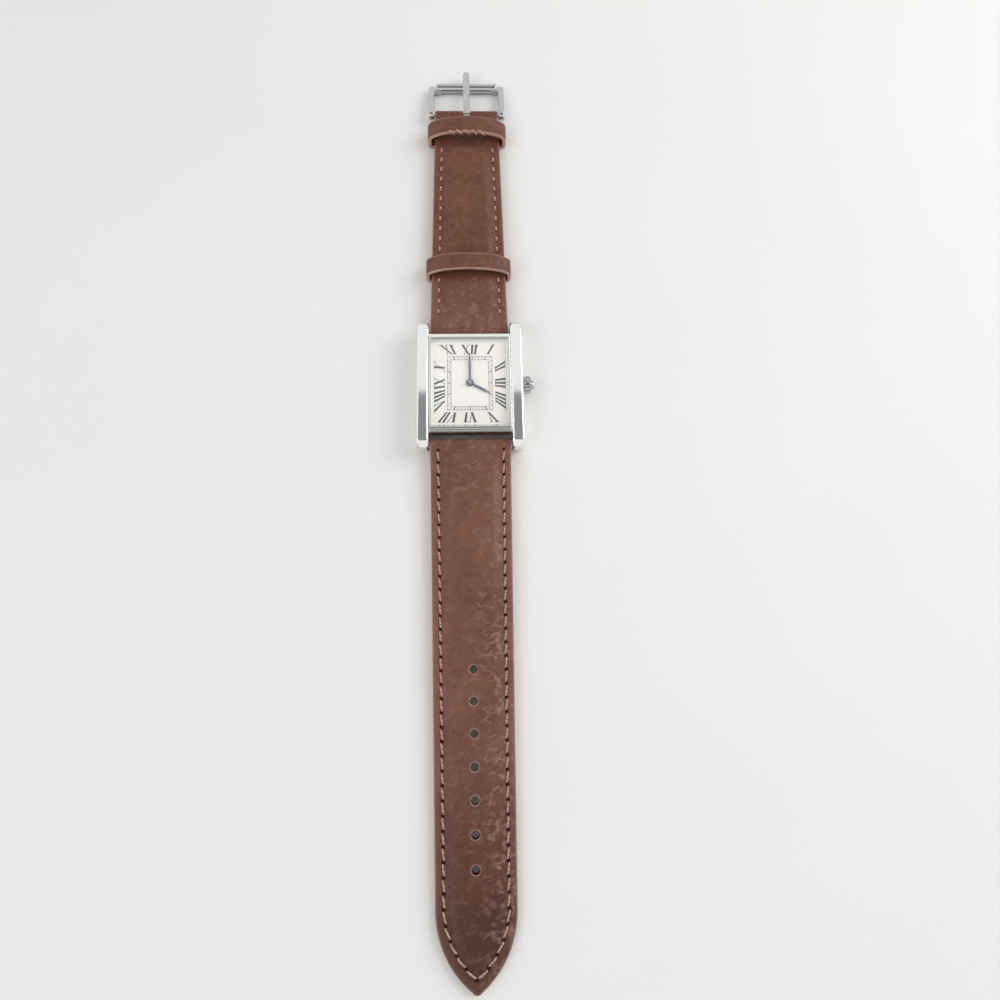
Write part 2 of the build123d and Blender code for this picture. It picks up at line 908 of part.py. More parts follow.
def intermediate_wheel():
    return train_wheel(
        intermediate_place,
        intermediate_level,
        intermediate_teeth,
        rotor_module,
        direction(intermediate_place, rotor_place),
        seconds_level,
        intermediate_pinion_teeth,
        intermediate_module,
        direction(intermediate_place, seconds_place),
    )


def rotor():
    facing = gap_toward(rotor_teeth, direction(rotor_place, intermediate_place))
    top = intermediate_level + wheel_thickness
    return arbor(rotor_place) + wheel(rotor_teeth, rotor_module, intermediate_level, top, rotor_place, facing)


def rotor_magnet():
    bottom = magnet_top - magnet_height
    return disc(magnet_radius, bottom, magnet_top, rotor_place) - disc(arbor_radius, 0, dial_top, rotor_place)


# Fixed parts of the movement

def lever_place():
    """The setting lever's pivot, level with the middle of the finger's travel."""
    return stem_neck_start + stem_neck_width / 2 + stem_pull / 2, lever_arm


lever_bottom = stem_height + stem_radius + running_clearance
coil_ends = ((-core_end_x, coil_y), (core_end_x, coil_y))


def wheel_pocket(teeth, module, place):
    radius = tip_radius(teeth, module) + pocket_clearance
    return disc(radius, pocket_floor, dial_bottom + overrun, place)


def stem_channel(radius, start, end):
    """A slot in the plate's dial side, as wide and deep as a round piece in it needs."""
    reach = radius + pocket_clearance
    return block(start, end, -reach, reach, stem_height - reach, dial_bottom + overrun)


def in_movement(shares):
    """The places at these shares of the movement's half width and half length."""
    return [(x * movement_width / 2, y * movement_length / 2) for x, y in shares]


bridge_posts = in_movement(bridge_post_shares)
bridge_edges = in_movement(bridge_edge_shares)
clamp_posts = in_movement(clamp_post_shares)


def main_plate():
    plate = slab(movement_width, movement_length, plate_bottom, dial_bottom, movement_corner)
    for place in bridge_posts:
        plate += disc(post_radius, bridge_top, plate_bottom, place)
    for place in clamp_posts:
        plate += disc(post_radius, battery_bottom, plate_bottom, place)
    battery_top = battery_bottom + battery_height + running_clearance
    plate -= disc(battery_radius + pocket_clearance, 0, battery_top, (battery_x, battery_y))
    plate -= rod(
        winding_radius + pocket_clearance,
        -winding_length / 2 - pocket_clearance,
        winding_length / 2 + pocket_clearance,
        coil_y,
        coil_height,
    )
    plate -= wheel_pocket(hour_wheel_teeth, hour_module, (0, 0))
    plate -= wheel_pocket(minute_wheel_teeth, motion_module, minute_place)
    plate -= wheel_pocket(setting_wheel_teeth, motion_module, setting_place)
    plate -= stem_channel(stem_radius, stem_start - pocket_clearance, movement_width)
    clutch_end = clutch_start + clutch_length
    plate -= stem_channel(clutch_radius, clutch_start - pocket_clearance, clutch_end + pocket_clearance)
    lever_x, lever_y = lever_place()
    reach = stem_pull / 2 + lever_width / 2 + pocket_clearance
    plate -= block(
        lever_x - reach,
        lever_x + reach,
        -reach,
        lever_y + reach,
        lever_bottom - running_clearance,
        dial_bottom + overrun,
    )
    plate -= disc(lever_post_radius + pivot_clearance, pocket_floor, dial_bottom, (lever_x, lever_y))
    plate -= disc(cannon_bore_radius + running_clearance, 0, dial_bottom)
    for place in (third_place, seconds_place, intermediate_place, rotor_place):
        hole_top = plate_bottom + pivot_length + pivot_clearance
        plate -= disc(pivot_radius + pivot_clearance, plate_bottom - overrun, hole_top, place)
    for place in dial_foot_places():
        foot_bottom = dial_bottom - dial_foot_length - running_clearance
        plate -= disc(dial_foot_radius + running_clearance, foot_bottom, dial_bottom + overrun, place)
    for place, head_bottom in screw_places():
        plate -= disc(plate_screw_radius, head_bottom, head_bottom + plate_screw_length, place)
    for place in (minute_place, setting_place):
        plate += disc(arbor_radius, pocket_floor, hour_wheel_level + wheel_thickness, place)
    return plate


def screw_places():
    """Where the movement's screws stand, and how low each head lies."""
    places = [(place, movement_bottom) for place in bridge_posts]
    places += [(place, movement_bottom - plate_screw_head_height) for place in clamp_posts]
    core_bottom = stator_bottom - core_thickness
    return places + [(place, core_bottom - plate_screw_head_height) for place in coil_ends]


def movement_screws():
    return [
        slotted_screw(
            plate_screw_head_radius,
            plate_screw_head_height,
            plate_screw_radius,
            plate_screw_length,
            place,
            head_bottom,
        )
        for place, head_bottom in screw_places()
    ]


def train_bridge():
    """The cover of the going train, drawn round its posts and pivots."""
    rims = [Pos(*place) * Circle(bridge_margin).edge() for place in bridge_posts + bridge_edges]
    bridge = extrude(Pos(0, 0, movement_bottom) * make_hull(rims), bridge_thickness)
    for place in bridge_posts:
        head_top = movement_bottom + plate_screw_head_height
        bridge -= disc(plate_screw_head_radius + running_clearance, 0, head_top, place)
        bridge -= disc(plate_screw_radius + running_clearance, 0, dial_top, place)
    for place in ((0, 0), third_place, seconds_place, intermediate_place, rotor_place):
        hole_bottom = bridge_top - pivot_length - pivot_clearance
        bridge -= disc(pivot_radius + pivot_clearance, hole_bottom, bridge_top + overrun, place)
    return bridge


def battery():
    """A button cell: a wide can with a narrower cap below."""
    can_bottom = battery_bottom + battery_cap_height
    place = (battery_x, battery_y)
    cap = disc(battery_cap_radius, battery_bottom, can_bottom, place)
    return disc(battery_radius, can_bottom, battery_bottom + battery_height, place) + cap


def battery_clamp():
    strap = strip(*clamp_posts, clamp_width, movement_bottom, battery_bottom)
    for place in clamp_posts:
        strap -= disc(plate_screw_radius + running_clearance, 0, dial_top, place)
    return strap


def drilled_ends(piece):
    """A piece of the coil assembly with the holes for its two screws."""
    for place in coil_ends:
        piece -= disc(plate_screw_radius + running_clearance, 0, dial_top, place)
    return piece


def coil_core():
    return drilled_ends(strip(*coil_ends, core_width, stator_bottom - core_thickness, stator_bottom))


def coil_winding():
    half = winding_length / 2
    core = strip(*coil_ends, core_width, stator_bottom - core_thickness, stator_bottom)
    return rod(winding_radius, -half, half, coil_y, coil_height) - core


def stator():
    """A flat iron loop from one end of the coil, round the magnet, to the other end."""
    gap = magnet_radius + magnet_gap
    rim = gap + stator_ring
    left = coil_ends[0]
    right = coil_ends[1]
    left_corner = (left[0], stator_return_y)
    right_corner = (rotor_place[0] - rim + stator_leg / 2, stator_return_y)
    rim_start = (right_corner[0], rotor_place[1])
    rim_end = (right[0], rotor_place[1])
    limbs = (
        (left, left_corner),
        (left_corner, right_corner),
        (right_corner, rim_start),
        (right, rim_end),
    )
    plan = disc(rim, stator_bottom, plate_bottom, rotor_place)
    for start, end in limbs:
        plan += strip(start, end, stator_leg, stator_bottom, plate_bottom)
    return drilled_ends(plan - disc(gap, 0, dial_top, rotor_place))


circuit_bottom = plate_bottom - circuit_thickness
circuit_place = (circuit_x, circuit_y)


def circuit_board():
    return slab(circuit_width, circuit_length, circuit_bottom, plate_bottom, 0, circuit_place)


def control_chip():
    place = (circuit_x + chip_offset_x, circuit_y)
    return slab(chip_size, chip_size, circuit_bottom - chip_height, circuit_bottom, 0, place)


def quartz_crystal():
    """A small metal can that lies under the board."""
    can = Cylinder(quartz_radius, quartz_length)
    return Pos(circuit_x + quartz_offset_x, circuit_y, circuit_bottom - quartz_radius) * Rot(90, 0, 0) * can


# Crown and keyless work

crown_start = half_case + crown_gap
crown_end = crown_start + crown_length


def square_rod(size, start, end):
    return block(start, end, -size / 2, size / 2, stem_height - size / 2, stem_height + size / 2)


def stem():
    """A stepped shaft: pilot, square for the sliding pinion, neck for the lever, and a plain end."""
    neck_end = stem_neck_start + stem_neck_width
    end = crown_start + crown_bore_depth + crown_stem_depth
    body = rod(stem_pilot_radius, stem_start, stem_square_start, 0, stem_height)
    body += square_rod(stem_square, stem_square_start, stem_square_end)
    body += rod(stem_radius, stem_square_end, stem_neck_start, 0, stem_height)
    body += rod(stem_neck_radius, stem_neck_start, neck_end, 0, stem_height)
    return body + rod(stem_radius, neck_end, end, 0, stem_height)


def sliding_pinion():
    """The pinion on the stem's square, with a groove round it and teeth on its inner end."""
    end = clutch_start + clutch_length
    groove_start = end - clutch_groove_width * 2
    body = rod(clutch_radius, clutch_start, end, 0, stem_height)
    groove = rod(clutch_radius + overrun, groove_start, groove_start + clutch_groove_width, 0, stem_height)
    body -= groove - rod(clutch_groove_radius, clutch_start, end, 0, stem_height)
    notch_width = math.pi * clutch_radius / clutch_teeth
    for tooth in range(clutch_teeth):
        notch = block(
            clutch_start - overrun,
            clutch_start + clutch_tooth_depth,
            -notch_width / 2,
            notch_width / 2,
            0,
            clutch_radius + overrun,
        )
        body -= Pos(0, 0, stem_height) * Rot(360 * tooth / clutch_teeth, 0, 0) * notch
    return body - square_rod(stem_square + 2 * running_clearance, 0, half_case)


def setting_lever():
    """An arm whose finger drops into the stem's neck, on a post that turns in the main plate."""
    pivot = lever_place()
    finger = (stem_neck_start + stem_neck_width / 2, 0)
    top = lever_bottom + lever_thickness
    arm = strip(pivot, finger, lever_width, lever_bottom, top)
    arm += disc(lever_post_radius, pocket_floor + running_clearance, lever_bottom, pivot)
    finger_bottom = stem_height + stem_neck_radius + running_clearance
    return arm + disc(lever_finger_radius, finger_bottom, lever_bottom, finger)


def crown_tube():
    start = cavity_width / 2
    end = half_case + tube_reach
    tube = rod(tube_radius, start, end, 0, stem_height)
    return tube - rod(tube_bore_radius, 0, end + overrun, 0, stem_height)


def crown():
    body = rod(crown_radius, crown_start, crown_end, 0, stem_height)
    body = fillet(body.edges().filter_by(GeomType.CIRCLE), crown_edge_round)
    for flute in range(crown_flutes):
        angle = 2 * math.pi * flute / crown_flutes
        y = crown_radius * math.cos(angle)
        z = stem_height + crown_radius * math.sin(angle)
        body -= rod(crown_flute_radius, crown_start - overrun, crown_end + overrun, y, z)
    bore_end = crown_start + crown_bore_depth
    body -= rod(crown_bore_radius, crown_start - overrun, bore_end, 0, stem_height)
    return body - rod(stem_radius, crown_start, bore_end + crown_stem_depth, 0, stem_height)


def crown_cap():
    cap = rod(crown_cap_radius, crown_end, crown_end + crown_cap_height, 0, stem_height)
    return fillet(cap.edges().filter_by(GeomType.CIRCLE).sort_by(Axis.X)[-1], crown_cap_round)


def crown_gasket():
    start = crown_start + (crown_bore_depth - crown_seal_length) / 2
    seal = rod(crown_bore_radius, start, start + crown_seal_length, 0, stem_height)
    return seal - rod(tube_radius + running_clearance, 0, case_width, 0, stem_height)


# Spring bars

bar_end = lug_gap / 2 - bar_end_gap
tip_inner = bar_end - bar_cap - pivot_clearance - bar_tip_collar
spring_half = tip_inner - bar_tip_travel - bar_spring_gap


def spring_bar(y):
    """The hollow barrel, closed in at each end round the tip's pin."""
    barrel = rod(bar_radius, -bar_end, bar_end, y, lug_bar_height)
    bore = bar_end - bar_cap
    barrel -= rod(bar_radius - bar_wall, -bore, bore, y, lug_bar_height)
    return barrel - rod(bar_tip_radius + running_clearance, -case_width, case_width, y, lug_bar_height)


def spring_bar_tip(y):
    """The right-hand sprung pin, with the collar that keeps it in the barrel."""
    pin = rod(bar_tip_radius, tip_inner, lug_gap / 2 + bar_tip_reach, y, lug_bar_height)
    return pin + rod(bar_tip_collar_radius, tip_inner, tip_inner + bar_tip_collar, y, lug_bar_height)


def spring_bar_spring(y):
    """The coil spring in a barrel, as a plain sleeve at its shortest length."""
    outer = bar_radius - bar_wall - running_clearance
    sleeve = rod(outer, -spring_half, spring_half, y, lug_bar_height)
    return sleeve - rod(outer - bar_spring_wall, -case_width, case_width, y, lug_bar_height)


# Strap: each half is drawn along +Y from its spring bar, then set in place

def taper_outline(near_width, far_width, start, length):
    """The plain tapering outline of a strap half with a square end."""
    return make_face(
        Polyline(
            (-near_width / 2, start),
            (-far_width / 2, length),
            (far_width / 2, length),
            (near_width / 2, start),
            close=True,
        )
    )


def pointed_outline(near_width, far_width, start, length, tip_length, inset):
    """A tapering outline with an ogive tip, or the same outline drawn in by an inset."""
    near = near_width / 2 - inset
    far = far_width / 2 - inset
    shoulder = length - tip_length
    tip = length - inset * tip_inset_share
    blunt = (long_tip_blunt, tip - long_tip_blunt_length)
    right = TangentArc((far, shoulder), blunt, tangent=(far - near, shoulder - start))
    left = mirror(right, Plane.YZ)
    nose = ThreePointArc((-blunt[0], blunt[1]), (0, tip), blunt)
    sides = Polyline((-far, shoulder), (-near, start), (near, start), (far, shoulder))
    return make_face(sides.edges() + right.edges() + nose.edges() + left.edges())


def between(low_line, high_line):
    """A solid under one side line and over another, wider than any strap."""
    side = make_face(Polyline(*low_line, *reversed(high_line), close=True))
    return extrude(Plane.YZ * side, strap_width, both=True)


def raised(line, rise):
    return [(y, z + rise) for y, z in line]


def strap_solids(outline, pad_outline, insert_outline, low_line, edge_line, pad_line, fold=None):
    """The upper leather, the padding and the lining of one half, before its holes."""
    height = lug_bar_height + strap_loop_radius + overrun
    plan = extrude(outline, height)
    body = plan & between(low_line, edge_line)
    pad_base = min(z for y, z in edge_line)
    pad = extrude(Pos(0, 0, pad_base) * pad_outline, height, taper=pad_side_angle)
    body += pad & between(low_line, pad_line)
    body += rod(strap_loop_radius, -strap_width / 2, strap_width / 2, 0, lug_bar_height)
    if fold:
        body += fold
    body -= rod(bar_radius + strap_bore_clearance, -strap_width, strap_width, 0, lug_bar_height)
    lining_top = raised(low_line, lining_thickness)
    far = block(-strap_width, strap_width, strap_loop_radius, low_line[-1][0], -overrun, height)
    lining = plan & between(raised(low_line, -overrun), lining_top) & far & body
    padding = extrude(insert_outline, height) & between(lining_top, raised(pad_line, -skin_thickness))
    upper = body - lining - padding
    return upper, padding, lining


def in_place(shape, side):
    """Set a half at its spring bar: side 1 is at 12 o'clock and side -1 at 6 o'clock."""
    turn = 0 if side > 0 else 180
    return Pos(0, side * lug_bar_y, 0) * Rot(0, 0, turn) * shape


def long_half():
    """The half with the holes, which lies on the table."""
    loop_low = lug_bar_height - strap_loop_radius
    loop_high = lug_bar_height + strap_loop_radius
    low_line = [(0, loop_low), (long_settle, 0), (long_length, 0)]
    edge_line = [(0, loop_high), (long_near_length, long_edge_near), (long_length, long_edge_far)]
    pad_line = [
        (0, loop_high),
        (long_near_length, long_pad_near),
        (long_mid_length, long_pad_mid),
        (long_length, long_pad_far),
    ]
    outline = pointed_outline(strap_width, long_tip_width, 0, long_length, long_tip_length, 0)
    pad_outline = pointed_outline(
        strap_width, long_tip_width, pad_start, long_length, long_tip_length, pad_inset
    )
    insert_outline = pointed_outline(
        strap_width,
        long_tip_width,
        strap_loop_radius,
        long_length,
        long_tip_length,
        pad_inset + pad_insert_inset,
    )
    pieces = strap_solids(outline, pad_outline, insert_outline, low_line, edge_line, pad_line)
    drilled = []
    for piece in pieces:
        for hole in range(hole_count):
            piece -= disc(hole_radius, -overrun, loop_high, (0, hole_first + hole * hole_pitch))
        drilled.append(in_place(piece, -1))
    return drilled


pin_place = buckle_pin_y - lug_bar_y
pin_height = short_underside + short_end_radius
tongue_ring_radius = pin_radius + tongue_gap + tongue_wall


def short_half():
    """The half with the buckle, whose end is a tab folded round the buckle's pin."""
    loop_low = lug_bar_height - strap_loop_radius
    loop_high = lug_bar_height + strap_loop_radius
    end_high = pin_height + short_end_radius
    fold_start = pin_place - short_fold_length
    low_line = [(0, loop_low), (short_settle, short_underside), (pin_place, short_underside)]
    edge_line = [
        (0, loop_high),
        (short_near_length, short_edge_near),
        (fold_start, short_edge_far),
        (pin_place, end_high),
    ]
    pad_line = [(0, loop_high), (short_near_length, short_pad_near), (pin_place, short_pad_far)]
    outline = taper_outline(strap_width, short_end_width, 0, pin_place)
    pad_far = short_end_width - 2 * pad_inset
    pad_end = pin_place - short_pad_tail
    pad_outline = taper_outline(strap_width - 2 * pad_inset, pad_far, pad_start, pad_end)
    insert = 2 * (pad_inset + pad_insert_inset)
    insert_outline = taper_outline(
        strap_width - insert,
        short_end_width - insert,
        strap_loop_radius,
        pad_end - pad_insert_inset,
    )
    half_end = short_end_width / 2
    fold = rod(short_end_radius, -half_end, half_end, pin_place, pin_height)
    upper, padding, lining = strap_solids(
        outline, pad_outline, insert_outline, low_line, edge_line, pad_line, fold
    )
    slot_start = pin_place - tongue_ring_radius - tongue_slot_clearance - tongue_slot_swing
    slot_half = tongue_width / 2 + tongue_slot_clearance
    end = pin_place + short_end_radius + overrun
    slot = block(-slot_half, slot_half, slot_start, end, 0, loop_high)
    bore = rod(pin_radius + pin_clearance, -strap_width, strap_width, pin_place, pin_height)
    tab_zone = block(-strap_width, strap_width, fold_start, end, 0, loop_high)
    tab = (upper + lining) & tab_zone
    pieces = (upper - tab_zone, padding, lining - tab_zone, tab - slot - bore)
    return [in_place(piece, 1) for piece in pieces]


# Keepers

def keeper(width, outer, floor, wall, y):
    """A leather band round the strap: flat below, with straight sides and an arched top."""

    def section(half, low, shoulder, top, corner):
        middle = Pos(0, shoulder)
        foot = middle * RectangleRounded(2 * half, 2 * (shoulder - low), corner)
        foot -= middle * Rectangle(outer, keeper_height, align=(Align.CENTER, Align.MIN))
        arch = middle * Ellipse(half, top - shoulder)
        arch -= middle * Rectangle(outer, keeper_height, align=(Align.CENTER, Align.MAX))
        return foot + arch

    outside = section(outer / 2, 0, keeper_shoulder, keeper_height, keeper_corner)
    inside = section(
        outer / 2 - wall, floor, keeper_shoulder, keeper_height - wall, keeper_corner - wall / 2
    )
    return Pos(0, y, 0) * extrude(Plane.XZ * (outside - inside), width / 2, both=True)


# Buckle: drawn flat along +Y from its pin, then tilted down until the front bar rests on the table

buckle_tilt = math.degrees(math.asin((pin_height - buckle_front_radius) / buckle_reach))


def at_pin(shape):
    return Pos(0, buckle_pin_y, pin_height) * Rot(-buckle_tilt, 0, 0) * shape


def buckle_frame():
    inner = buckle_inner / 2
    outer = buckle_outer / 2
    half_height = buckle_arm_height / 2
    half_front = buckle_front_width / 2
    arm_end = buckle_reach
    frame = rod(buckle_front_radius, -half_front, half_front, buckle_reach, 0)
    frame = fillet(frame.edges().filter_by(GeomType.CIRCLE), buckle_round)
    corner_start = buckle_reach - buckle_corner_depth
    corner_side = half_front - buckle_corner_depth
    for side in (-1, 1):
        arm = block(inner, outer, 0, arm_end, -half_height, half_height)
        arm += block(corner_side, outer, corner_start, arm_end, -half_height, half_height)
        arm = fillet(arm.edges().filter_by(lambda edge: edge.center().Y > 0), buckle_round)
        eye = rod(buckle_eye_radius, inner, outer, 0, 0)
        arm += fillet(eye.edges().filter_by(GeomType.CIRCLE), buckle_round)
        arm -= rod(pin_radius, 0, inner + pin_grip, 0, 0)
        frame += arm if side > 0 else mirror(arm, Plane.YZ)
    return at_pin(frame)


def buckle_pin():
    reach = buckle_inner / 2 + pin_grip
    return rod(pin_radius, -reach, reach, buckle_pin_y, pin_height)


def buckle_tongue():
    """A ring round the pin and a blade that crosses over the front bar."""
    half = tongue_width / 2
    rest = buckle_front_radius + tongue_gap
    reach = buckle_reach + tongue_overhang
    blade = make_face(
        Polyline(
            (0, tongue_ring_radius - tongue_thickness),
            (buckle_reach / 2, rest - tongue_round),
            (buckle_reach - buckle_front_radius, rest),
            (reach, rest),
            (reach, rest + tongue_thickness),
            (buckle_reach - buckle_front_radius, rest + tongue_thickness),
            (buckle_reach / 2, rest + tongue_thickness - tongue_round),
            (0, tongue_ring_radius),
            close=True,
        )
    )
    body = extrude(Plane.YZ * blade, half, both=True)
    body = fillet(body.edges().filter_by(Axis.Z).sort_by(Axis.Y)[-2:], half * tongue_tip_share)
    body = fillet(body.faces().sort_by(Axis.Z)[-1].edges(), tongue_round)
    body += rod(tongue_ring_radius, -half, half, 0, 0)
    return at_pin(body - rod(pin_radius + tongue_gap, -strap_width, strap_width, 0, 0))


# Write every piece

one_node("case_body", case_body())
one_node("bezel", bezel())
one_node("crystal", crystal())
one_node("crystal_gasket", crystal_gasket())
one_node("case_back", case_back())
one_node("case_back_gasket", seal_ring(back_thickness))
one_node("case_back_screws", *case_back_screws())
one_node("movement_holder", movement_holder())
one_node("dial", dial())
one_node("minute_track", minute_track())
one_node("dial_numerals", *dial_numerals())

one_node("minute_hand", minute_hand())
one_node("hour_hand", hour_hand())
one_node("cannon_pinion", cannon_pinion())
one_node("hour_wheel", hour_wheel())
one_node("minute_wheel", minute_wheel())
one_node("setting_wheel", setting_wheel())
one_node("centre_wheel", centre_wheel())
one_node("third_wheel", third_wheel())
one_node("seconds_wheel", seconds_wheel())
one_node("intermediate_wheel", intermediate_wheel())
one_node("rotor", rotor())
one_node("rotor_magnet", rotor_magnet())

one_node("main_plate", main_plate())
one_node("train_bridge", train_bridge())
one_node("movement_screws", *movement_screws())
one_node("battery", battery())
one_node("battery_clamp", battery_clamp())
one_node("coil_core", coil_core())
one_node("coil_winding", coil_winding())
one_node("stator", stator())
one_node("circuit_board", circuit_board())
one_node("control_chip", control_chip())
one_node("quartz_crystal", quartz_crystal())

one_node("stem", stem())
one_node("sliding_pinion", sliding_pinion())
one_node("setting_lever", setting_lever())
one_node("crown_tube", crown_tube())
one_node("crown", crown())
one_node("crown_cap", crown_cap())
one_node("crown_gasket", crown_gasket())

one_node("spring_bar_upper", spring_bar(lug_bar_y))
one_node("spring_bar_lower", spring_bar(-lug_bar_y))
one_node("spring_bar_springs", spring_bar_spring(lug_bar_y), spring_bar_spring(-lug_bar_y))
for end, y in (("upper", lug_bar_y), ("lower", -lug_bar_y)):
    tip = spring_bar_tip(y)
    one_node("spring_bar_tip_" + end + "_right", tip)
    one_node("spring_bar_tip_" + end + "_left", mirror(tip, Plane.YZ))

for half, pieces in (("long", long_half()), ("short", short_half())):
    for layer, piece in zip(("upper", "padding", "lining", "tab"), pieces):
        one_node("strap_" + half + "_" + layer, piece)

free_keeper = keeper(
    free_keeper_width,
    free_keeper_outer,
    free_keeper_thickness,
    free_keeper_thickness,
    free_keeper_y,
)
fixed_keeper = keeper(
    fixed_keeper_width,
    fixed_keeper_outer,
    short_underside,
    fixed_keeper_thickness,
    fixed_keeper_y,
)
one_node("keeper_free", free_keeper)
one_node("keeper_fixed", fixed_keeper)
one_node("buckle_frame", buckle_frame())
one_node("buckle_pin", buckle_pin())
one_node("buckle_tongue", buckle_tongue())
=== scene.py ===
# %% [markdown]
# # A rectangular dress watch on a padded leather strap
# The steel case, the movement and the buckle are exact solids made in CAD. They come in as a
# fixed frame: nothing in it is moved or reshaped here. This lesson gives those solids their
# finishes, and makes the soft pieces, which CAD only stands in for: two strap halves with their
# padding and lining, two keepers, the thread, the coil's winding and the small springs.
# Lengths are worked out in millimetres, as a watchmaker would, and turned to metres at the end.

import math
from types import SimpleNamespace

import bmesh
import bpy
import numpy as np
from mathutils import Matrix, Vector, noise


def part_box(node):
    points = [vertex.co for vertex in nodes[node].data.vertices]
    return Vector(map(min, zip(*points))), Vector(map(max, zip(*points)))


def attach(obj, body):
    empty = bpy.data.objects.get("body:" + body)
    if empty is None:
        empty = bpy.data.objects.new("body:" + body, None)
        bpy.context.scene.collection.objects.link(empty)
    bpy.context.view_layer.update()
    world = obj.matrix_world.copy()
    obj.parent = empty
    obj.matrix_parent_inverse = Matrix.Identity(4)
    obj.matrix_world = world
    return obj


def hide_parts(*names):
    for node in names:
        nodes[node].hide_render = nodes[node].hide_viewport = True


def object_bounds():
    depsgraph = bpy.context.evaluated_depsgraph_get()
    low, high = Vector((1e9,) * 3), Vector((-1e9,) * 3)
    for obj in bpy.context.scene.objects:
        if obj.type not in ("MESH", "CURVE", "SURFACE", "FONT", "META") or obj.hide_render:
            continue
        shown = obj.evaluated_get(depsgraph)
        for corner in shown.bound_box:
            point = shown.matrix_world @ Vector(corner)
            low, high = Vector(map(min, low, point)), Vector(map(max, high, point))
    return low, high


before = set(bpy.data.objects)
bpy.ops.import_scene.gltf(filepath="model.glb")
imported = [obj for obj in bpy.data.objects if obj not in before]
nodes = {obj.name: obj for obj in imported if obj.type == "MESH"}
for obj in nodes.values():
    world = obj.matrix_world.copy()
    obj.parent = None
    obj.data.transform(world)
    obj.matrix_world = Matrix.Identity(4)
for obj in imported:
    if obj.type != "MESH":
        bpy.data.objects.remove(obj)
cad_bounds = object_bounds()
MM = 0.001
print("CAD nodes:", len(nodes), "size in mm:", [round(s / MM, 1) for s in cad_bounds[1] - cad_bounds[0]])

# %% [markdown]
# ## The camera
# The photograph looks down on the watch from a hand's height, leaning a little toward the
# 6 o'clock side. Its place and turn were worked out from points of known size on the watch.
# A real camera has no shift or tilt lens here, so the plain perspective camera is enough, with
# all of it in focus.

# %% Place the camera
camera_place = Vector((-0.1025, -79.605, 184.248))
camera_pitch = 0.2715
camera_yaw = 0.139
camera_roll = -0.1216
lens_share = 0.78


def in_scene(name, data):
    """A new object in the scene, which holds a mesh, a lamp or a camera."""
    thing = bpy.data.objects.new(name, data)
    bpy.context.scene.collection.objects.link(thing)
    return thing


across = Vector((1, 0, 0))
upward = Vector((0, math.cos(camera_pitch), math.sin(camera_pitch)))
rolled_across = math.cos(camera_roll) * across - math.sin(camera_roll) * upward
rolled_upward = math.sin(camera_roll) * across + math.cos(camera_roll) * upward
yaw_back = Matrix.Rotation(-camera_yaw, 3, "Z")
view_x = yaw_back @ rolled_across
view_y = yaw_back @ rolled_upward
view_z = view_x.cross(view_y)

camera_data = bpy.data.cameras.new("overhead_camera")
camera_data.lens = camera_data.sensor_width * lens_share
camera_data.clip_start = 10 * MM
camera = in_scene("overhead_camera", camera_data)
camera.matrix_world = Matrix.LocRotScale(
    camera_place * MM, Matrix((view_x, view_y, view_z)).transposed().to_quaternion(), None
)
bpy.context.scene.camera = camera
print("lens in mm:", round(camera_data.lens, 2), "looking along:", [round(v, 3) for v in -view_z])

# %% [markdown]
# ## Colour and node helpers
# A colour is given as an sRGB hex value, but Blender's shaders count in linear light, so
# one function turns one into the other. A second one adds any node, with its settings and its
# links, which keeps every recipe below readable. Patterns are sized from the real thing: a
# texture's Scale is how many cells fit into a metre, so it is one over the cell's size.

# %% Helpers for finishes
def linear(hex_colour):
    """An sRGB hex colour as linear red, green, blue and alpha."""
    shares = [int(hex_colour[start:start + 2], 16) / 255 for start in (1, 3, 5)]
    return [s / 12.92 if s <= 0.04045 else ((s + 0.055) / 1.055) ** 2.4 for s in shares] + [1]


def cells_of(millimetres):
    """The Scale of a texture whose cells are this wide."""
    return 1 / (millimetres * MM)


def add(tree, kind, inputs=None, **settings):
    """Add a node, set what the settings name, and fill or link its inputs.

    The settings switch some sockets off, and only those in use are counted or looked up by name.
    An input that is given a whole node takes that node's first output.
    """
    node = tree.nodes.new("ShaderNode" + kind)
    for name, value in settings.items():
        setattr(node, name, value)
    in_use = [socket for socket in node.inputs if socket.enabled]
    for key, value in (inputs or {}).items():
        socket = in_use[key] if isinstance(key, int) else next(s for s in in_use if s.name == key)
        if isinstance(value, bpy.types.Node):
            value = next(out for out in value.outputs if out.enabled)
        if isinstance(value, bpy.types.NodeSocket):
            tree.links.new(value, socket)
        else:
            socket.default_value = value
    return node


def start_finish(name):
    """An empty material, its node tree and the coordinates of the piece that wears it."""
    material = bpy.data.materials.new(name)
    material.use_nodes = True
    tree = material.node_tree
    tree.nodes.clear()
    return material, tree, add(tree, "TexCoord").outputs["Object"]


def end_finish(material, inputs):
    """The material, closed with one Principled surface."""
    tree = material.node_tree
    add(tree, "OutputMaterial", {"Surface": add(tree, "BsdfPrincipled", inputs)})
    return material


print("a mid brown in linear light:", [round(v, 3) for v in linear("#74544a")])

# %% [markdown]
# ## Steel, polished and brushed
# The case, bezel, crown and buckle are stainless steel buffed on a felt wheel: nearly a mirror,
# with faint wipe marks that only soften the reflection here and there. The case back and the
# small inner pieces are satin, rubbed one way with a fine abrasive. Both are metals, so their
# colour is the colour of their reflection and the IOR stays at its default. The scratches are
# finer than a pixel, so they are drawn a few times coarser than real ones. Each finish is filed
# under the name of the CAD slot that it belongs to.

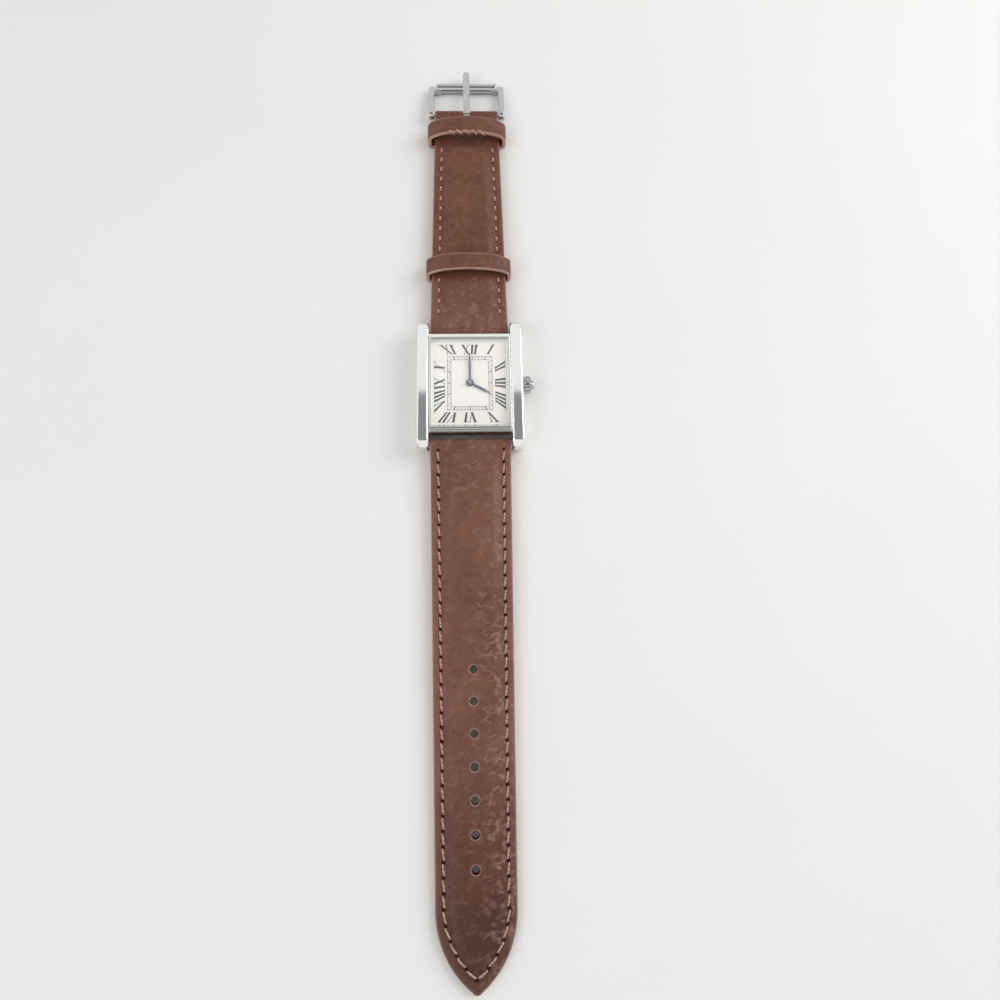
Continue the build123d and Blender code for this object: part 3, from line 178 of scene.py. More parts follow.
# %% Metal finishes
def metal_finish(name, colour, roughness, mark_length, mark_width, mark_depth, patch_size, tarnish):
    """A metal whose rubbing marks run along Y, a little dulled in patches."""
    material, tree, place = start_finish(name)
    marks = add(tree, "TexNoise", {
        "Vector": add(tree, "Mapping", {"Vector": place, "Scale": (1, mark_width / mark_length, 1)}),
        "Scale": cells_of(mark_width), "Detail": 3.0, "Roughness": 0.6,
    })
    patches = add(tree, "TexNoise", {"Vector": place, "Scale": cells_of(patch_size), "Detail": 2.0})
    gloss = add(tree, "MapRange", {
        "Value": patches, "From Min": 0.3, "From Max": 0.7,
        "To Min": roughness * 0.8, "To Max": roughness * 1.3,
    })
    tint = add(tree, "Mix", {
        "Factor": patches, "A": linear(colour), "B": linear(tarnish),
    }, data_type="RGBA")
    bump = add(tree, "Bump", {"Height": marks, "Distance": mark_depth * MM, "Strength": 0.5})
    return end_finish(material, {
        "Base Color": tint, "Metallic": 1.0, "Roughness": gloss, "Normal": bump,
    })


finish_of_slot = {}
for slot_name, *recipe in (
    ("polished_steel", "buffed stainless steel", "#eeeeec", 0.06, 3.0, 0.12, 0.0003, 4.0, "#e3e3e1"),
    # A greyer steel for the crown and buckle: painted reflection, darker than the case's.
    ("darker_reflection_steel", "steel with painted darker reflection", "#c8c9c8", 0.1, 2.0, 0.1, 0.0006, 1.6, "#a9aaa9"),
    ("brushed_steel", "satin stainless steel", "#c9cacd", 0.3, 6.0, 0.06, 0.003, 3.0, "#b9babd"),
    ("nickel_plate", "rhodium-plated brass", "#cfcfd2", 0.24, 5.0, 0.08, 0.002, 2.0, "#bdbdbf"),
    ("brass", "gilt brass", "#d8b46a", 0.22, 1.0, 0.05, 0.001, 1.0, "#c39b52"),
    ("blued_steel", "heat-blued steel", "#6c7084", 0.22, 2.0, 0.08, 0.0006, 1.5, "#838797"),
    ("soft_iron", "annealed iron", "#8f9092", 0.42, 2.0, 0.1, 0.002, 1.2, "#77787a"),
    ("magnet", "sintered magnet", "#55565a", 0.5, 0.2, 0.1, 0.004, 0.6, "#45464a"),
):
    finish_of_slot[slot_name] = metal_finish(*recipe)
print("metals:", [m.name for m in bpy.data.materials])

# %% [markdown]
# ## Lacquer, ink, plastics and rubber
# The dial is brass sprayed with an off-white lacquer, which leaves a very fine skin that
# softens its shine. The numerals and the minute track are ink pressed on with a silicone pad,
# so they are flat and dry. The holder, the wheels of the quick end of the train and the seals
# are moulded, with the even, slightly pebbled skin of a mould.

# %% Coated and moulded finishes
def moulded_finish(name, colour, shade, roughness, grain_size, grain_depth, patch_size):
    """An even, non-metal skin: a fine grain and a slow change of shade."""
    material, tree, place = start_finish(name)
    patches = add(tree, "TexNoise", {"Vector": place, "Scale": cells_of(patch_size), "Detail": 3.0})
    tint = add(tree, "Mix", {
        "Factor": patches, "A": linear(colour), "B": linear(shade),
    }, data_type="RGBA")
    grain = add(tree, "TexNoise", {"Vector": place, "Scale": cells_of(grain_size), "Detail": 2.0})
    bump = add(tree, "Bump", {"Height": grain, "Distance": grain_depth * MM, "Strength": 0.6})
    gloss = add(tree, "MapRange", {
        "Value": grain, "To Min": roughness * 0.85, "To Max": roughness * 1.15,
    })
    return end_finish(material, {"Base Color": tint, "Roughness": gloss, "Normal": bump})


for slot_name, *recipe in (
    ("white_lacquer", "off-white dial lacquer", "#fdfbf4", "#f9f5ed", 0.4, 0.1, 0.002, 7.0),
    ("black_ink", "black pad-printed ink", "#3f3f3e", "#4b4b49", 0.55, 0.08, 0.003, 0.8),
    ("white_plastic", "white acetal", "#e6e4dc", "#dad7ce", 0.45, 0.15, 0.004, 3.0),
    ("black_plastic", "black polyamide", "#242527", "#2f3032", 0.45, 0.12, 0.004, 1.5),
    ("green_board", "green solder mask", "#1f5a35", "#2a6a40", 0.35, 0.2, 0.004, 1.0),
    ("black_rubber", "nitrile rubber", "#1e1e1f", "#29292a", 0.7, 0.1, 0.005, 1.0),
    ("padding", "pressed cotton fibre", "#b5a78c", "#9a8b70", 0.9, 0.25, 0.05, 1.2),
):
    finish_of_slot[slot_name] = moulded_finish(*recipe)
print("finishes after the coats and mouldings:", len(finish_of_slot))

# %% [markdown]
# ## Crystal, coil wire and the rest
# The crystal is mineral glass: clear, with an IOR of 1.52 and a roughness of nearly nothing,
# and full transmission, because the glass itself adds no colour. Its ground edges are frosted:
# they are found by their normals, which don't point up or down. Rays that only carry light to
# the dial see no glass at all. Without that, the dial would lie in the shade of a clear pane.
# Copper wire for a coil is enamelled, which keeps its red but takes some of the shine away.

# %% Glass and enamelled copper
def glass_finish():
    """Clear flat faces, ground edges, and lamps that shine straight through."""
    material, tree, place = start_finish("mineral glass")
    smears = add(tree, "TexNoise", {"Vector": place, "Scale": cells_of(6.0), "Detail": 2.0})
    gloss = add(tree, "MapRange", {
        "Value": smears, "From Min": 0.4, "From Max": 0.8, "To Max": 0.03,
    })
    facing = add(tree, "SeparateXYZ", {0: add(tree, "NewGeometry").outputs["True Normal"]})
    level = add(tree, "Math", {0: facing.outputs["Z"]}, operation="ABSOLUTE")
    ground = add(tree, "MapRange", {"Value": level, "From Min": 0.5, "From Max": 0.2})
    clear = add(tree, "BsdfPrincipled", {
        "Base Color": linear("#ffffff"), "Roughness": gloss, "IOR": 1.52, "Transmission Weight": 1.0,
    })
    frosted = add(tree, "BsdfPrincipled", {"Base Color": linear("#e4e6e4"), "Roughness": 0.6})
    pane = add(tree, "MixShader", {0: ground, 1: clear, 2: frosted})
    ray = add(tree, "LightPath")
    lights = add(tree, "Math", {
        0: ray.outputs["Is Shadow Ray"], 1: ray.outputs["Is Diffuse Ray"],
    }, operation="MAXIMUM")
    surface = add(tree, "MixShader", {0: lights, 1: pane, 2: add(tree, "BsdfTransparent")})
    add(tree, "OutputMaterial", {"Surface": surface})
    return material


finish_of_slot["mineral_glass"] = glass_finish()
finish_of_slot["copper_wire"] = metal_finish(
    "enamelled copper wire", "#c06a3c", 0.3, 0.6, 0.05, 0.001, 0.5, "#a85a30"
)
print("glass and wire:", [finish_of_slot[slot].name for slot in ("mineral_glass", "copper_wire")])

# %% [markdown]
# ## Calf leather
# The strap is drum-dyed calf with a waxed, slightly glossy skin. Three things make it read as
# leather. The dye lies unevenly, so the brown drifts over several millimetres. Toward the tip
# it is darker, partly its own tone and partly painted shade, and the buckle half is redder and
# a little darker. The grain is a fine pebble, real cells being a little under a millimetre. And
# the skin has creased where it was bent, in short slanting folds: most along the right of the
# long half, some next to the case, few elsewhere. Their tops are pale, partly rubbed wear and
# partly painted highlight, the glint of the lamp on the right. Near the tip the right side has
# pale spots on larger soft cells: painted highlights, in the colour only, with no relief. Two
# values painted on the mesh help: one is painted shade in the awl holes of the stitching, the
# other is a pale line along the cut edges and round the punched holes, partly rubbed wear and
# partly painted highlight.

# %% Calf leather finish
def leather_finish(name, brown, deep_brown, pale, pebble_size, pebble_depth, crease_depth, roughness):
    """Dyed calf: drifting colour, pebbled grain, slanting creases, pale rims, painted shade and
    highlights.
    """
    material, tree, place = start_finish(name)
    drift, blotches, wobble, breaks, pores = (
        add(tree, "TexNoise", {
            "Vector": place, "Scale": cells_of(size), "Detail": detail, "Roughness": raggedness,
        }) for size, detail, raggedness in (
            (11.0, 5.0, 0.6), (2.4, 6.0, 0.72), (1.8, 3.0, 0.5), (2.2, 3.0, 0.5), (0.22, 3.0, 0.5),
        )
    )
    spot = add(tree, "SeparateXYZ", {0: place})
    # Masks by place: darker toward the tip, partly the leather's own tone and partly painted shade, and
    # redder on the buckle half.
    right_side, long_side, near_tip, tip_tone_and_shade, buckle_half_tint = (
        add(tree, "MapRange", {
            "Value": spot.outputs[axis], "From Min": start * MM, "From Max": end * MM,
        }, interpolation_type=ease) for axis, start, end, ease in (
            ("X", -1, 6, "LINEAR"), ("Y", -28, -55, "LINEAR"), ("Y", -80, -112, "LINEAR"),
            ("Y", -78, -132, "SMOOTHSTEP"), ("Y", 18, 40, "SMOOTHSTEP"),
        )
    )

    wobbled = add(tree, "VectorMath", {
        0: wobble.outputs["Color"], "Scale": 1.1 * MM,
    }, operation="SCALE")
    bent = add(tree, "VectorMath", {0: place, 1: wobbled}, operation="ADD")
    slanted = add(tree, "Mapping", {
        "Vector": bent, "Rotation": (0, 0, math.radians(24)), "Scale": (2.5, 1, 1),
    }, vector_type="TEXTURE")
    creases = add(tree, "TexVoronoi", {
        "Vector": slanted, "Scale": cells_of(1.3),
    }, feature="DISTANCE_TO_EDGE")
    fold = add(tree, "MapRange", {"Value": creases, "From Max": 0.16, "To Min": 1.0, "To Max": 0.0})
    broken = add(tree, "MapRange", {"Value": breaks, "From Min": 0.5, "From Max": 0.6})
    flexed = add(tree, "MapRange", {
        "Value": add(tree, "Math", {0: right_side, 1: long_side}, operation="MULTIPLY"),
        "To Min": 0.2,
    })
    bent_here = add(tree, "MapRange", {
        "Value": add(tree, "Math", {0: spot.outputs["Y"]}, operation="ABSOLUTE"),
        "From Min": 24 * MM, "From Max": 38 * MM, "To Min": 0.5, "To Max": 0.0,
    })
    worked = add(tree, "Math", {0: flexed, 1: bent_here}, operation="MAXIMUM")
    worked_breaks = add(tree, "Math", {0: broken, 1: worked}, operation="MULTIPLY")
    fold_here = add(tree, "Math", {0: fold, 1: worked_breaks}, operation="MULTIPLY")

    # Pale spots on larger cells near the tip, right side: painted highlights, glints in the colour only,
    # with no relief.
    glint_cells, pebbles = (
        add(tree, "TexVoronoi", {
            "Vector": bent, "Scale": cells_of(size), "Randomness": spread,
        }, feature="SMOOTH_F1") for size, spread in ((1.7, 0.8), (pebble_size, 0.9))
    )
    glint_tops = add(tree, "MapRange", {
        "Value": glint_cells, "From Min": 0.42, "From Max": 0.2, "To Max": 2.125 * crease_depth,
    })
    glint_side = add(tree, "Math", {0: near_tip, 1: right_side}, operation="MULTIPLY")
    painted_glints = add(tree, "Math", {0: glint_tops, 1: glint_side}, operation="MULTIPLY")

    # Painted on the mesh: shade in the awl holes, and a pale line on rims, partly rubbed wear and partly
    # painted highlight.
    awl, rim_wear_and_glint = (
        add(tree, "Attribute", attribute_name=mark).outputs["Fac"] for mark in ("awl_hole_shade", "rim_wear_and_glint")
    )
    uneven = add(tree, "Math", {
        0: add(tree, "MapRange", {"Value": drift, "From Min": 0.34, "From Max": 0.66}),
        1: add(tree, "MapRange", {
            "Value": blotches, "From Min": 0.35, "From Max": 0.65, "To Min": -0.4, "To Max": 0.4,
        }),
    }, operation="ADD", use_clamp=True)
    # Pale crease tops are partly rubbed wear and partly painted highlight; with the painted glints and
    # pale rims they set the pale share.
    crease_wear_and_highlight = add(tree, "Math", {0: fold_here, 1: 0.6}, operation="MULTIPLY")
    raised = add(tree, "Math", {0: crease_wear_and_highlight, 1: painted_glints}, operation="MAXIMUM")
    wear_and_highlight = add(tree, "Math", {0: raised, 1: rim_wear_and_glint}, operation="MAXIMUM")
    colour = linear(deep_brown)
    # Colour in layers: the drift, painted shade toward the tip, a redder buckle half, pale wear with
    # painted highlights, painted shade in the awl holes.
    for share, shade, way in (
        (uneven, brown, "MIX"), (tip_tone_and_shade, "#a39886", "MULTIPLY"), (buckle_half_tint, "#ecdccd", "MULTIPLY"),
        (wear_and_highlight, pale, "MIX"), (awl, "#3a120b", "MIX"),
    ):
        colour = add(tree, "Mix", {
            "Factor": share, "A": colour, "B": linear(shade),
        }, data_type="RGBA", blend_type=way)

    gloss = add(tree, "MapRange", {
        "Value": pores, "To Min": roughness * 0.75, "To Max": roughness * 1.25,
    })
    shine = add(tree, "MapRange", {"Value": awl, "To Min": 0.34, "To Max": 0.04})
    relief = add(tree, "Bump", {
        "Height": pebbles, "Distance": pebble_depth * MM, "Strength": 0.8,
    }, invert=True)
    for height, depth, strength in ((pores, 0.04, 0.7), (fold_here, crease_depth, 0.9)):
        relief = add(tree, "Bump", {
            "Height": height, "Distance": depth * MM, "Strength": strength, "Normal": relief,
        })
    return end_finish(material, {
        "Base Color": colour, "Roughness": gloss, "IOR": 1.45, "Specular IOR Level": shine,
        "Normal": relief, "Coat Weight": 0.03, "Coat Roughness": 0.25,
    })


calf = leather_finish("waxed calf leather", "#7d5245", "#6a4336", "#b48a7d", 0.75, 0.2, 0.16, 0.42)
# The pale cut edge is partly the raw edge's own colour and partly painted light, paler to make up for the
# shade on its upright faces.
cut_edge = leather_finish("burnished cut edge", "#cdaea6", "#bb9990", "#e0ccc4", 0.4, 0.05, 0.02, 0.5)
lining = leather_finish("undyed lining leather", "#a9805f", "#94704f", "#bf9a7a", 0.5, 0.06, 0.02, 0.65)
# The walls of the punched holes are painted nearly black: painted shade inside each hole.
hole_wall_shade = leather_finish("hole wall in painted shade", "#2e1812", "#21100c", "#3a2018", 0.3, 0.05, 0.02, 0.7)
finish_of_slot.update(brown_leather=calf, lining_leather=lining)
print("leathers:", calf.name, cut_edge.name, lining.name)

# %% [markdown]
# ## Thread
# The thread is bonded polyester, three plies twisted and waxed, about 0.4 mm thick. Its twist
# shows as fine slanting bands, drawn here at twice their real width so that a few show.

# %% Thread finish
def thread_finish(name, colour, shade):
    """Slanting bands of light and shade, one for each ply."""
    material, tree, place = start_finish(name)
    twist = add(tree, "TexWave", {
        "Vector": place, "Scale": cells_of(0.5) / 3, "Distortion": 1.5, "Detail": 1.0,
    }, bands_direction="DIAGONAL").outputs["Fac"]
    tint = add(tree, "Mix", {
        "Factor": twist, "A": linear(shade), "B": linear(colour),
    }, data_type="RGBA")
    bump = add(tree, "Bump", {"Height": twist, "Distance": 0.05 * MM, "Strength": 0.7})
    return end_finish(material, {"Base Color": tint, "Roughness": 0.6, "Normal": bump})


waxed_thread = thread_finish("waxed polyester thread", "#c6a69a", "#94705f")
print("thread:", waxed_thread.name)

# %% [markdown]
# ## Give each CAD node its finish
# The imported record names a material slot for each node, and the finish that was filed under
# that name goes into the node's own material slot, so no mesh is touched. The crown and the
# buckle, four nodes, take a greyer steel than the case: a painted reflection, darker, as if they
# mirrored darker surroundings.

# %% Finish the CAD nodes
# These nodes take the greyer steel, whose darker colour is a painted reflection.
darker_reflection_nodes = ("crown", "crown_cap", "buckle_frame", "buckle_tongue")
for name, node in nodes.items():
    slot_name = node.data.materials[0].name.split(".")[0]
    node.data.materials[0] = finish_of_slot["darker_reflection_steel" if name in darker_reflection_nodes else slot_name]
print("finished nodes:", len(nodes))

# %% [markdown]
# ## The table and the light
# A pale table under a soft, even sky of light is how a small polished thing is photographed: a
# mirror shows its surroundings, so they are kept plain. The world is white to the camera and to
# every reflection, and a little dimmer where it only lights. A large lamp to the right adds the
# sheen on the leather. Lamps this big and this near give shadows with soft edges. Straight
# overhead, mirrors see a grey card, as they would see the dark front of a camera: polished
# steel needs something dark to reflect, or it can't be told from white plastic.

# %% Floor, world and lamps
def table_finish():
    """Pale laminate, faintly clouded, with a fine grit."""
    material, tree, place = start_finish("pale matt laminate")
    clouds = add(tree, "TexNoise", {"Vector": place, "Scale": cells_of(60.0), "Detail": 3.0})
    tint = add(tree, "Mix", {
        "Factor": clouds, "A": linear("#efeeec"), "B": linear("#f3f2f0"),
    }, data_type="RGBA")
    grit = add(tree, "TexNoise", {"Vector": place, "Scale": cells_of(0.6), "Detail": 2.0})
    bump = add(tree, "Bump", {"Height": grit, "Distance": 0.02 * MM, "Strength": 0.3})
    return end_finish(material, {"Base Color": tint, "Roughness": 0.7, "Normal": bump})


def new_piece(name, points, faces):
    """An object made of points in mm and of faces that count them."""
    mesh = bpy.data.meshes.new(name)
    mesh.from_pydata((np.array(points, dtype=float) * MM).tolist(), [], faces)
    return in_scene(name, mesh)


half_table = 1200
table_corners = [(x * half_table, y * half_table, 0) for x, y in ((-1, -1), (1, -1), (1, 1), (-1, 1))]
table_top = new_piece("table_top", table_corners, [(0, 1, 2, 3)])
table_top.data.materials.append(table_finish())
table_top.location.z = cad_bounds[0].z - 0.02 * MM

world = bpy.data.worlds.new("studio")
bpy.context.scene.world = world
world.use_nodes = True
studio = world.node_tree
studio.nodes.clear()
ray = add(studio, "LightPath")
mirrored = add(studio, "Math", {
    0: ray.outputs["Is Glossy Ray"], 1: ray.outputs["Is Transmission Ray"],
}, operation="MAXIMUM")
seen = add(studio, "Math", {0: ray.outputs["Is Camera Ray"], 1: mirrored}, operation="MAXIMUM")
level = add(studio, "MapRange", {"Value": seen, "To Min": 0.62})
toward_card = add(studio, "VectorMath", {
    0: add(studio, "TexCoord").outputs["Generated"], 1: (0, 0, 1),
}, operation="DOT_PRODUCT")
card_edge = add(studio, "MapRange", {
    "Value": toward_card,
    "From Min": math.cos(math.radians(23.0)), "From Max": math.cos(math.radians(22.0)),
}, interpolation_type="SMOOTHSTEP")
in_mirror = add(studio, "Math", {0: card_edge, 1: ray.outputs["Is Glossy Ray"]}, operation="MULTIPLY")
sky = add(studio, "Mix", {
    "Factor": in_mirror, "A": linear("#ffffff"), "B": linear("#959696"),
}, data_type="RGBA")
add(studio, "OutputWorld", {"Surface": add(studio, "Background", {"Color": sky, "Strength": level})})
bpy.context.scene.view_settings.view_transform = "Standard"


def soft_lamp(name, place, target, width, watts):
    """A square lamp facing a point, sizes and places in mm."""
    data = bpy.data.lights.new(name, "AREA")
    data.shape = "SQUARE"
    data.size = width * MM
    data.energy = watts
    lamp = in_scene(name, data)
    lamp.location = Vector(place) * MM
    lamp.rotation_euler = (Vector(target) - Vector(place)).to_track_quat("-Z", "Y").to_euler()


lit_point = (0, -20, 0)
soft_lamp("window_right", (520, 160, 420), lit_point, width=420, watts=1.9)
soft_lamp("fill_left", (-480, -260, 520), lit_point, width=380, watts=0.9)
print("table top at z =", round(table_top.location.z / MM, 3), "mm, lamps:", len(bpy.data.lights))

# %% [markdown]
# ## How a strap half is shaped
# A strap is a calf upper glued and sewn over a felt pad and a thin lining. Seen from above it
# tapers, and the long half ends in a point made of two arcs. The pad lifts the middle, and
# stops short of the edge, so the border that takes the stitching stays flat. All of that
# depends on how far a point is from the edge, so one function measures that distance, and the
# height of the skin is a sum of simple terms of it. Working on a grid of points keeps the rows
# dense enough for each stitch hole to dent the skin. In the code, x runs across the strap and
# s runs along it, from the spring bar outward.

# %% Outline of each strap half, seen from above
lug_bar_y = 15.6
bar_height = 2.45
bar_bore = 0.91
loop_radius = 1.8
loop_top = bar_height + loop_radius

long_root = 9.9
long_arc_start = 103.9
long_slope = (long_root - 8.75) / long_arc_start
long_arc_radius = 19.84
long_arc_x = -11.09
long_arc_s = 103.68
long_nose_half = 0.95
nose_start = 119.45
long_end = 119.9

short_root = 9.9
pin_s = 66.8
short_slope = (short_root - 8.7) / pin_s
fold_start = 63.8
pin_height = 2.25
fold_radius = 1.05


def half_circle(radius, offset):
    """Half the height of a circle at a distance from its middle, and nothing outside it."""
    return np.sqrt(np.clip(radius**2 - offset**2, 0, None))


def long_half_width(s):
    straight = long_root - long_slope * s
    reach = half_circle(long_arc_radius, s - long_arc_s)
    nose = np.clip((s - nose_start) / (long_end - nose_start), 0, 1)
    arc = np.where(s < nose_start, long_arc_x + reach, long_nose_half * np.sqrt(1 - nose**2))
    return np.where(s < long_arc_start, straight, arc)


def long_edge_distance(x, s):
    straight = (long_root - long_slope * s - np.abs(x)) / math.hypot(1, long_slope)
    arc = long_arc_radius - np.hypot(np.abs(x) - long_arc_x, s - long_arc_s)
    return np.clip(np.where(s < long_arc_start, straight, arc), 0, None)


def short_half_width(s):
    return short_root - short_slope * s


def short_edge_distance(x, s):
    return np.clip((short_half_width(s) - np.abs(x)) / math.hypot(1, short_slope), 0, None)


print("long tip half width at 110 mm:", round(float(long_half_width(np.array(110.0))), 2))

# %% [markdown]
# ## Where each stitch goes
# A saddler marks the stitch line with a groover at a fixed distance from the edge and pricks it
# at an even pitch. The same is done here: the line is traced, its length divided by the pitch,
# and each stitch gets its middle and its direction.

# %% Stitch lines
stitch_pitch = 3.1
long_inset = 1.85
short_inset = 1.95


def stitch_places(inner_x, s_from, s_to):
    """Middles and directions of stitches on the right-hand line, from its far end back."""
    s = np.linspace(s_from, s_to, 4000)
    x = inner_x(s)
    s, x = s[x >= 0], x[x >= 0]
    run = np.concatenate([[0], np.cumsum(np.hypot(np.diff(s), np.diff(x)))])
    count = int(run[-1] / stitch_pitch)
    middles = run[-1] - stitch_pitch * (np.arange(count) + 0.5)
    mx, ms = np.interp(middles, run, x), np.interp(middles, run, s)
    ahead = np.clip(middles + 0.5, 0, run[-1])
    behind = middles - 0.5
    tx = np.interp(ahead, run, x) - np.interp(behind, run, x)
    ts = np.interp(ahead, run, s) - np.interp(behind, run, s)
    length = np.hypot(tx, ts)
    return np.stack([mx, ms, tx / length, ts / length], axis=1)


def both_sides(places):
    """The right-hand stitches and their mirror images."""
    return np.concatenate([places, places * np.array([-1, 1, -1, 1])])


def toward_tip(s):
    """Nothing along the straight sides, then growing to one at the tip."""
    return np.clip((s - long_arc_start) / 14, 0, 1)


def long_stitch_x(s):
    inset = long_inset + 0.75 * toward_tip(s)
    on_arc = long_arc_x + half_circle(long_arc_radius - inset, s - long_arc_s)
    return np.where(s < long_arc_start, long_root - long_slope * s - inset, on_arc)


long_stitches = both_sides(stitch_places(long_stitch_x, s_from=0.4, s_to=118.5))
short_stitches = both_sides(
    stitch_places(lambda s: short_half_width(s) - short_inset, s_from=2.4, s_to=56.2)
)
print("stitches:", len(long_stitches), "on the long half,", len(short_stitches), "on the short")

# %% [markdown]
# ## The height of the skin
# Heights come from a few measured places along the strap, joined by straight runs. Then come
# the pad's shoulder, a slow waviness, the groove that the thread has pulled down, the dents of
# the awl, and the folds that wearing has left across the strap. Each fold is a place along the
# strap, how it leans and bows, its depth and its width.

# %% Skin height
shoulder_start = 2.3
shoulder_width = 2.6
crown_reach = 9
groove_depth = 0.1
groove_width = 0.35
short_pad_stop = 56.0
long_folds = ((3.2, 0.02, 0.004, 0.12, 0.7), (5.8, -0.03, -0.004, 0.08, 0.6))
short_folds = (
    (22.4, 0.01, 0.006, 0.3, 0.8), (50.8, 0.03, -0.012, 0.14, 0.6), (48.2, -0.02, -0.01, 0.08, 0.5),
    (4.0, 0.04, 0.004, 0.14, 0.6), (7.6, -0.05, 0.004, 0.08, 0.6),
)


def smooth_rise(value, start, width):
    t = np.clip((value - start) / width, 0, 1)
    return t * t * (3 - 2 * t)


def bell(value, at, width, power=2):
    """One where a value is met, falling away on both sides of it."""
    return np.exp(-((value - at) / width)**power)


def waviness(x, s, size, height, seed):
    """A slow unevenness of the skin, from Blender's own noise, on the grid's points."""
    values = [
        noise.noise(Vector((px / size, ps / size, seed)))
        for px, ps in zip(x.ravel(), s.ravel())
    ]
    return height * np.array(values).reshape(x.shape)


def fold_line(x, s, at, lean, bow, depth, width):
    """A bent-in line across the strap, leaning and bowed."""
    return -depth * bell(s, at + lean * x + bow * x**2, width)


def loop_end(s, z):
    """The end of a strap half, wrapped round its bar."""
    return np.where(s < 0, bar_height + half_circle(loop_radius, s), z)


def long_skin(x, s):
    edge = np.interp(s, (0, 8, long_end), (loop_top, 2.9, 1.75))
    pad = np.interp(s, (0, 8, 46, long_end), (loop_top, 3.75, 2.75, 2.25))
    distance = long_edge_distance(x, s)
    z = edge + (pad - edge) * smooth_rise(distance, shoulder_start + toward_tip(s), shoulder_width)
    z = z + 0.1 * np.clip(distance / crown_reach, 0, 1)
    z = z + waviness(x, s, 7.0, 0.08, 1.7) + waviness(x, s, 2.5, 0.03, 4.1)
    for fold in long_folds:
        z = z + fold_line(x, s, *fold)
    z = z - groove_depth * bell(distance, long_inset, groove_width)
    return loop_end(s, z)


def short_skin(x, s):
    edge = np.interp(s, (0, 9, fold_start, pin_s), (loop_top, 3.5, 3.0, 3.3))
    pad = np.interp(s, (0, 9, pin_s), (loop_top, 4.15, 3.6))
    distance = short_edge_distance(x, s)
    ahead = smooth_rise(short_pad_stop - s, 0.0, 2.5)
    z = edge + (pad - edge) * smooth_rise(distance, shoulder_start, shoulder_width) * ahead
    z = z + 0.12 * np.clip(distance / crown_reach, 0, 1) * ahead
    z = z + waviness(x, s, 7.0, 0.08, 8.3) * ahead + waviness(x, s, 2.5, 0.03, 2.2)
    for fold in short_folds:
        z = z + fold_line(x, s, *fold)
    z = z - groove_depth * bell(distance, short_inset, groove_width) * (s < short_pad_stop + 1)
    around_pin = pin_height + half_circle(fold_radius, s - pin_s)
    return np.where(s > pin_s, around_pin, loop_end(s, z))


def skin_at(skin_of, x, s):
    """The height of a skin at one point."""
    return float(skin_of(np.array([[x]]), np.array([[s]]))[0, 0])


print("long skin at the middle of the strap:", round(skin_at(long_skin, 0.0, 60.0), 2), "mm high")

# %% [markdown]
# ## From a grid of points to a closed piece
# Each leather piece is a lofted shell: a dense grid on top, a coarser one below, a wall between
# them round the rim. Columns keep an even share of the width, so they follow the taper, and
# they crowd near the edges, where the rounding and the stitch groove are. The two painted marks
# are stored on the points, and the leather finish reads them.

# %% Lofted shell
def spread_columns(half_width, fine=True):
    """Shares of the half width, from -1 to 1, crowded near the edges."""
    near = [0, 0.05, 0.14, 0.28, 0.45, 0.75, 1.1, 1.35, 1.55, 1.7, 1.85, 2.0, 2.15, 2.4, 2.7, 3.0]
    near = near if fine else [0, 0.8, 2.0, 3.0]
    inner = np.linspace(3.0, half_width, 22 if fine else 6)[1:]
    side = 1 - np.concatenate([near, inner]) / half_width
    return np.concatenate([-side[:-1], side[::-1]])


def as_grid(rows, shares, half_width_of):
    """Grids of x and s: every row along the strap at every share of its half width."""
    s = np.repeat(rows[:, None], len(shares), axis=1)
    return half_width_of(rows)[:, None] * shares[None, :], s


def quads(grid):
    """Four-sided faces between neighbours in a grid of point numbers."""
    corners = [grid[:-1, :-1], grid[:-1, 1:], grid[1:, 1:], grid[1:, :-1]]
    return np.stack(corners, axis=-1).reshape(-1, 4).tolist()


def shell(name, top, bottom, direction, marks=None):
    """A closed mesh from two grids of (x, s, z) that share their rows."""
    points = [
        np.stack([x, direction * (lug_bar_y + s), z], axis=-1).reshape(-1, 3)
        for x, s, z in (top, bottom)
    ]
    upper = np.arange(top[0].size).reshape(top[0].shape)
    lower = upper.size + np.arange(bottom[0].size).reshape(bottom[0].shape)
    faces = quads(upper) + [f[::-1] for f in quads(lower)]
    faces += quads(np.stack([upper[:, 0], lower[:, 0]]))
    faces += quads(np.stack([upper[:, -1], lower[:, -1]], axis=1))
    faces += [upper[0, ::-1].tolist() + lower[0].tolist(), upper[-1].tolist() + lower[-1, ::-1].tolist()]
    if direction < 0:
        faces = [f[::-1] for f in faces]
    piece = new_piece(name, np.concatenate(points), faces)
    for label, values in (marks or {}).items():
        layer = piece.data.attributes.new(label, "FLOAT", "POINT")
        layer.data.foreach_set("value", np.append(values.ravel(), np.zeros(lower.size)))
    return piece


def soften(piece, degrees=50):
    """Smooth shading, kept crisp where two faces meet at more than this angle."""
    piece.data.shade_smooth()
    piece.data.set_sharp_from_angle(angle=math.radians(degrees))


def wear(piece, body, slot_name, *replaced, finish=None):
    """Finish a new piece, put it on its body and hide the nodes it stands for."""
    piece.data.materials.clear()
    piece.data.materials.append(finish or finish_of_slot[slot_name])
    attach(piece, body)
    if replaced:
        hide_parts(*replaced)
    print(piece.name, "faces:", len(piece.data.polygons))


low_shares = spread_columns(9.3, False)
print("columns across the strap:", len(spread_columns(9.3)), "and below:", len(low_shares))

# %% [markdown]
# ## Cutting the holes
# The strap maker punches the buckle holes through upper, pad and lining at once. A Boolean
# modifier with a set of round punches does the same to a mesh, and applying it leaves plain
# geometry. The bore for the spring bar and the slot for the tongue are cut in the same way.

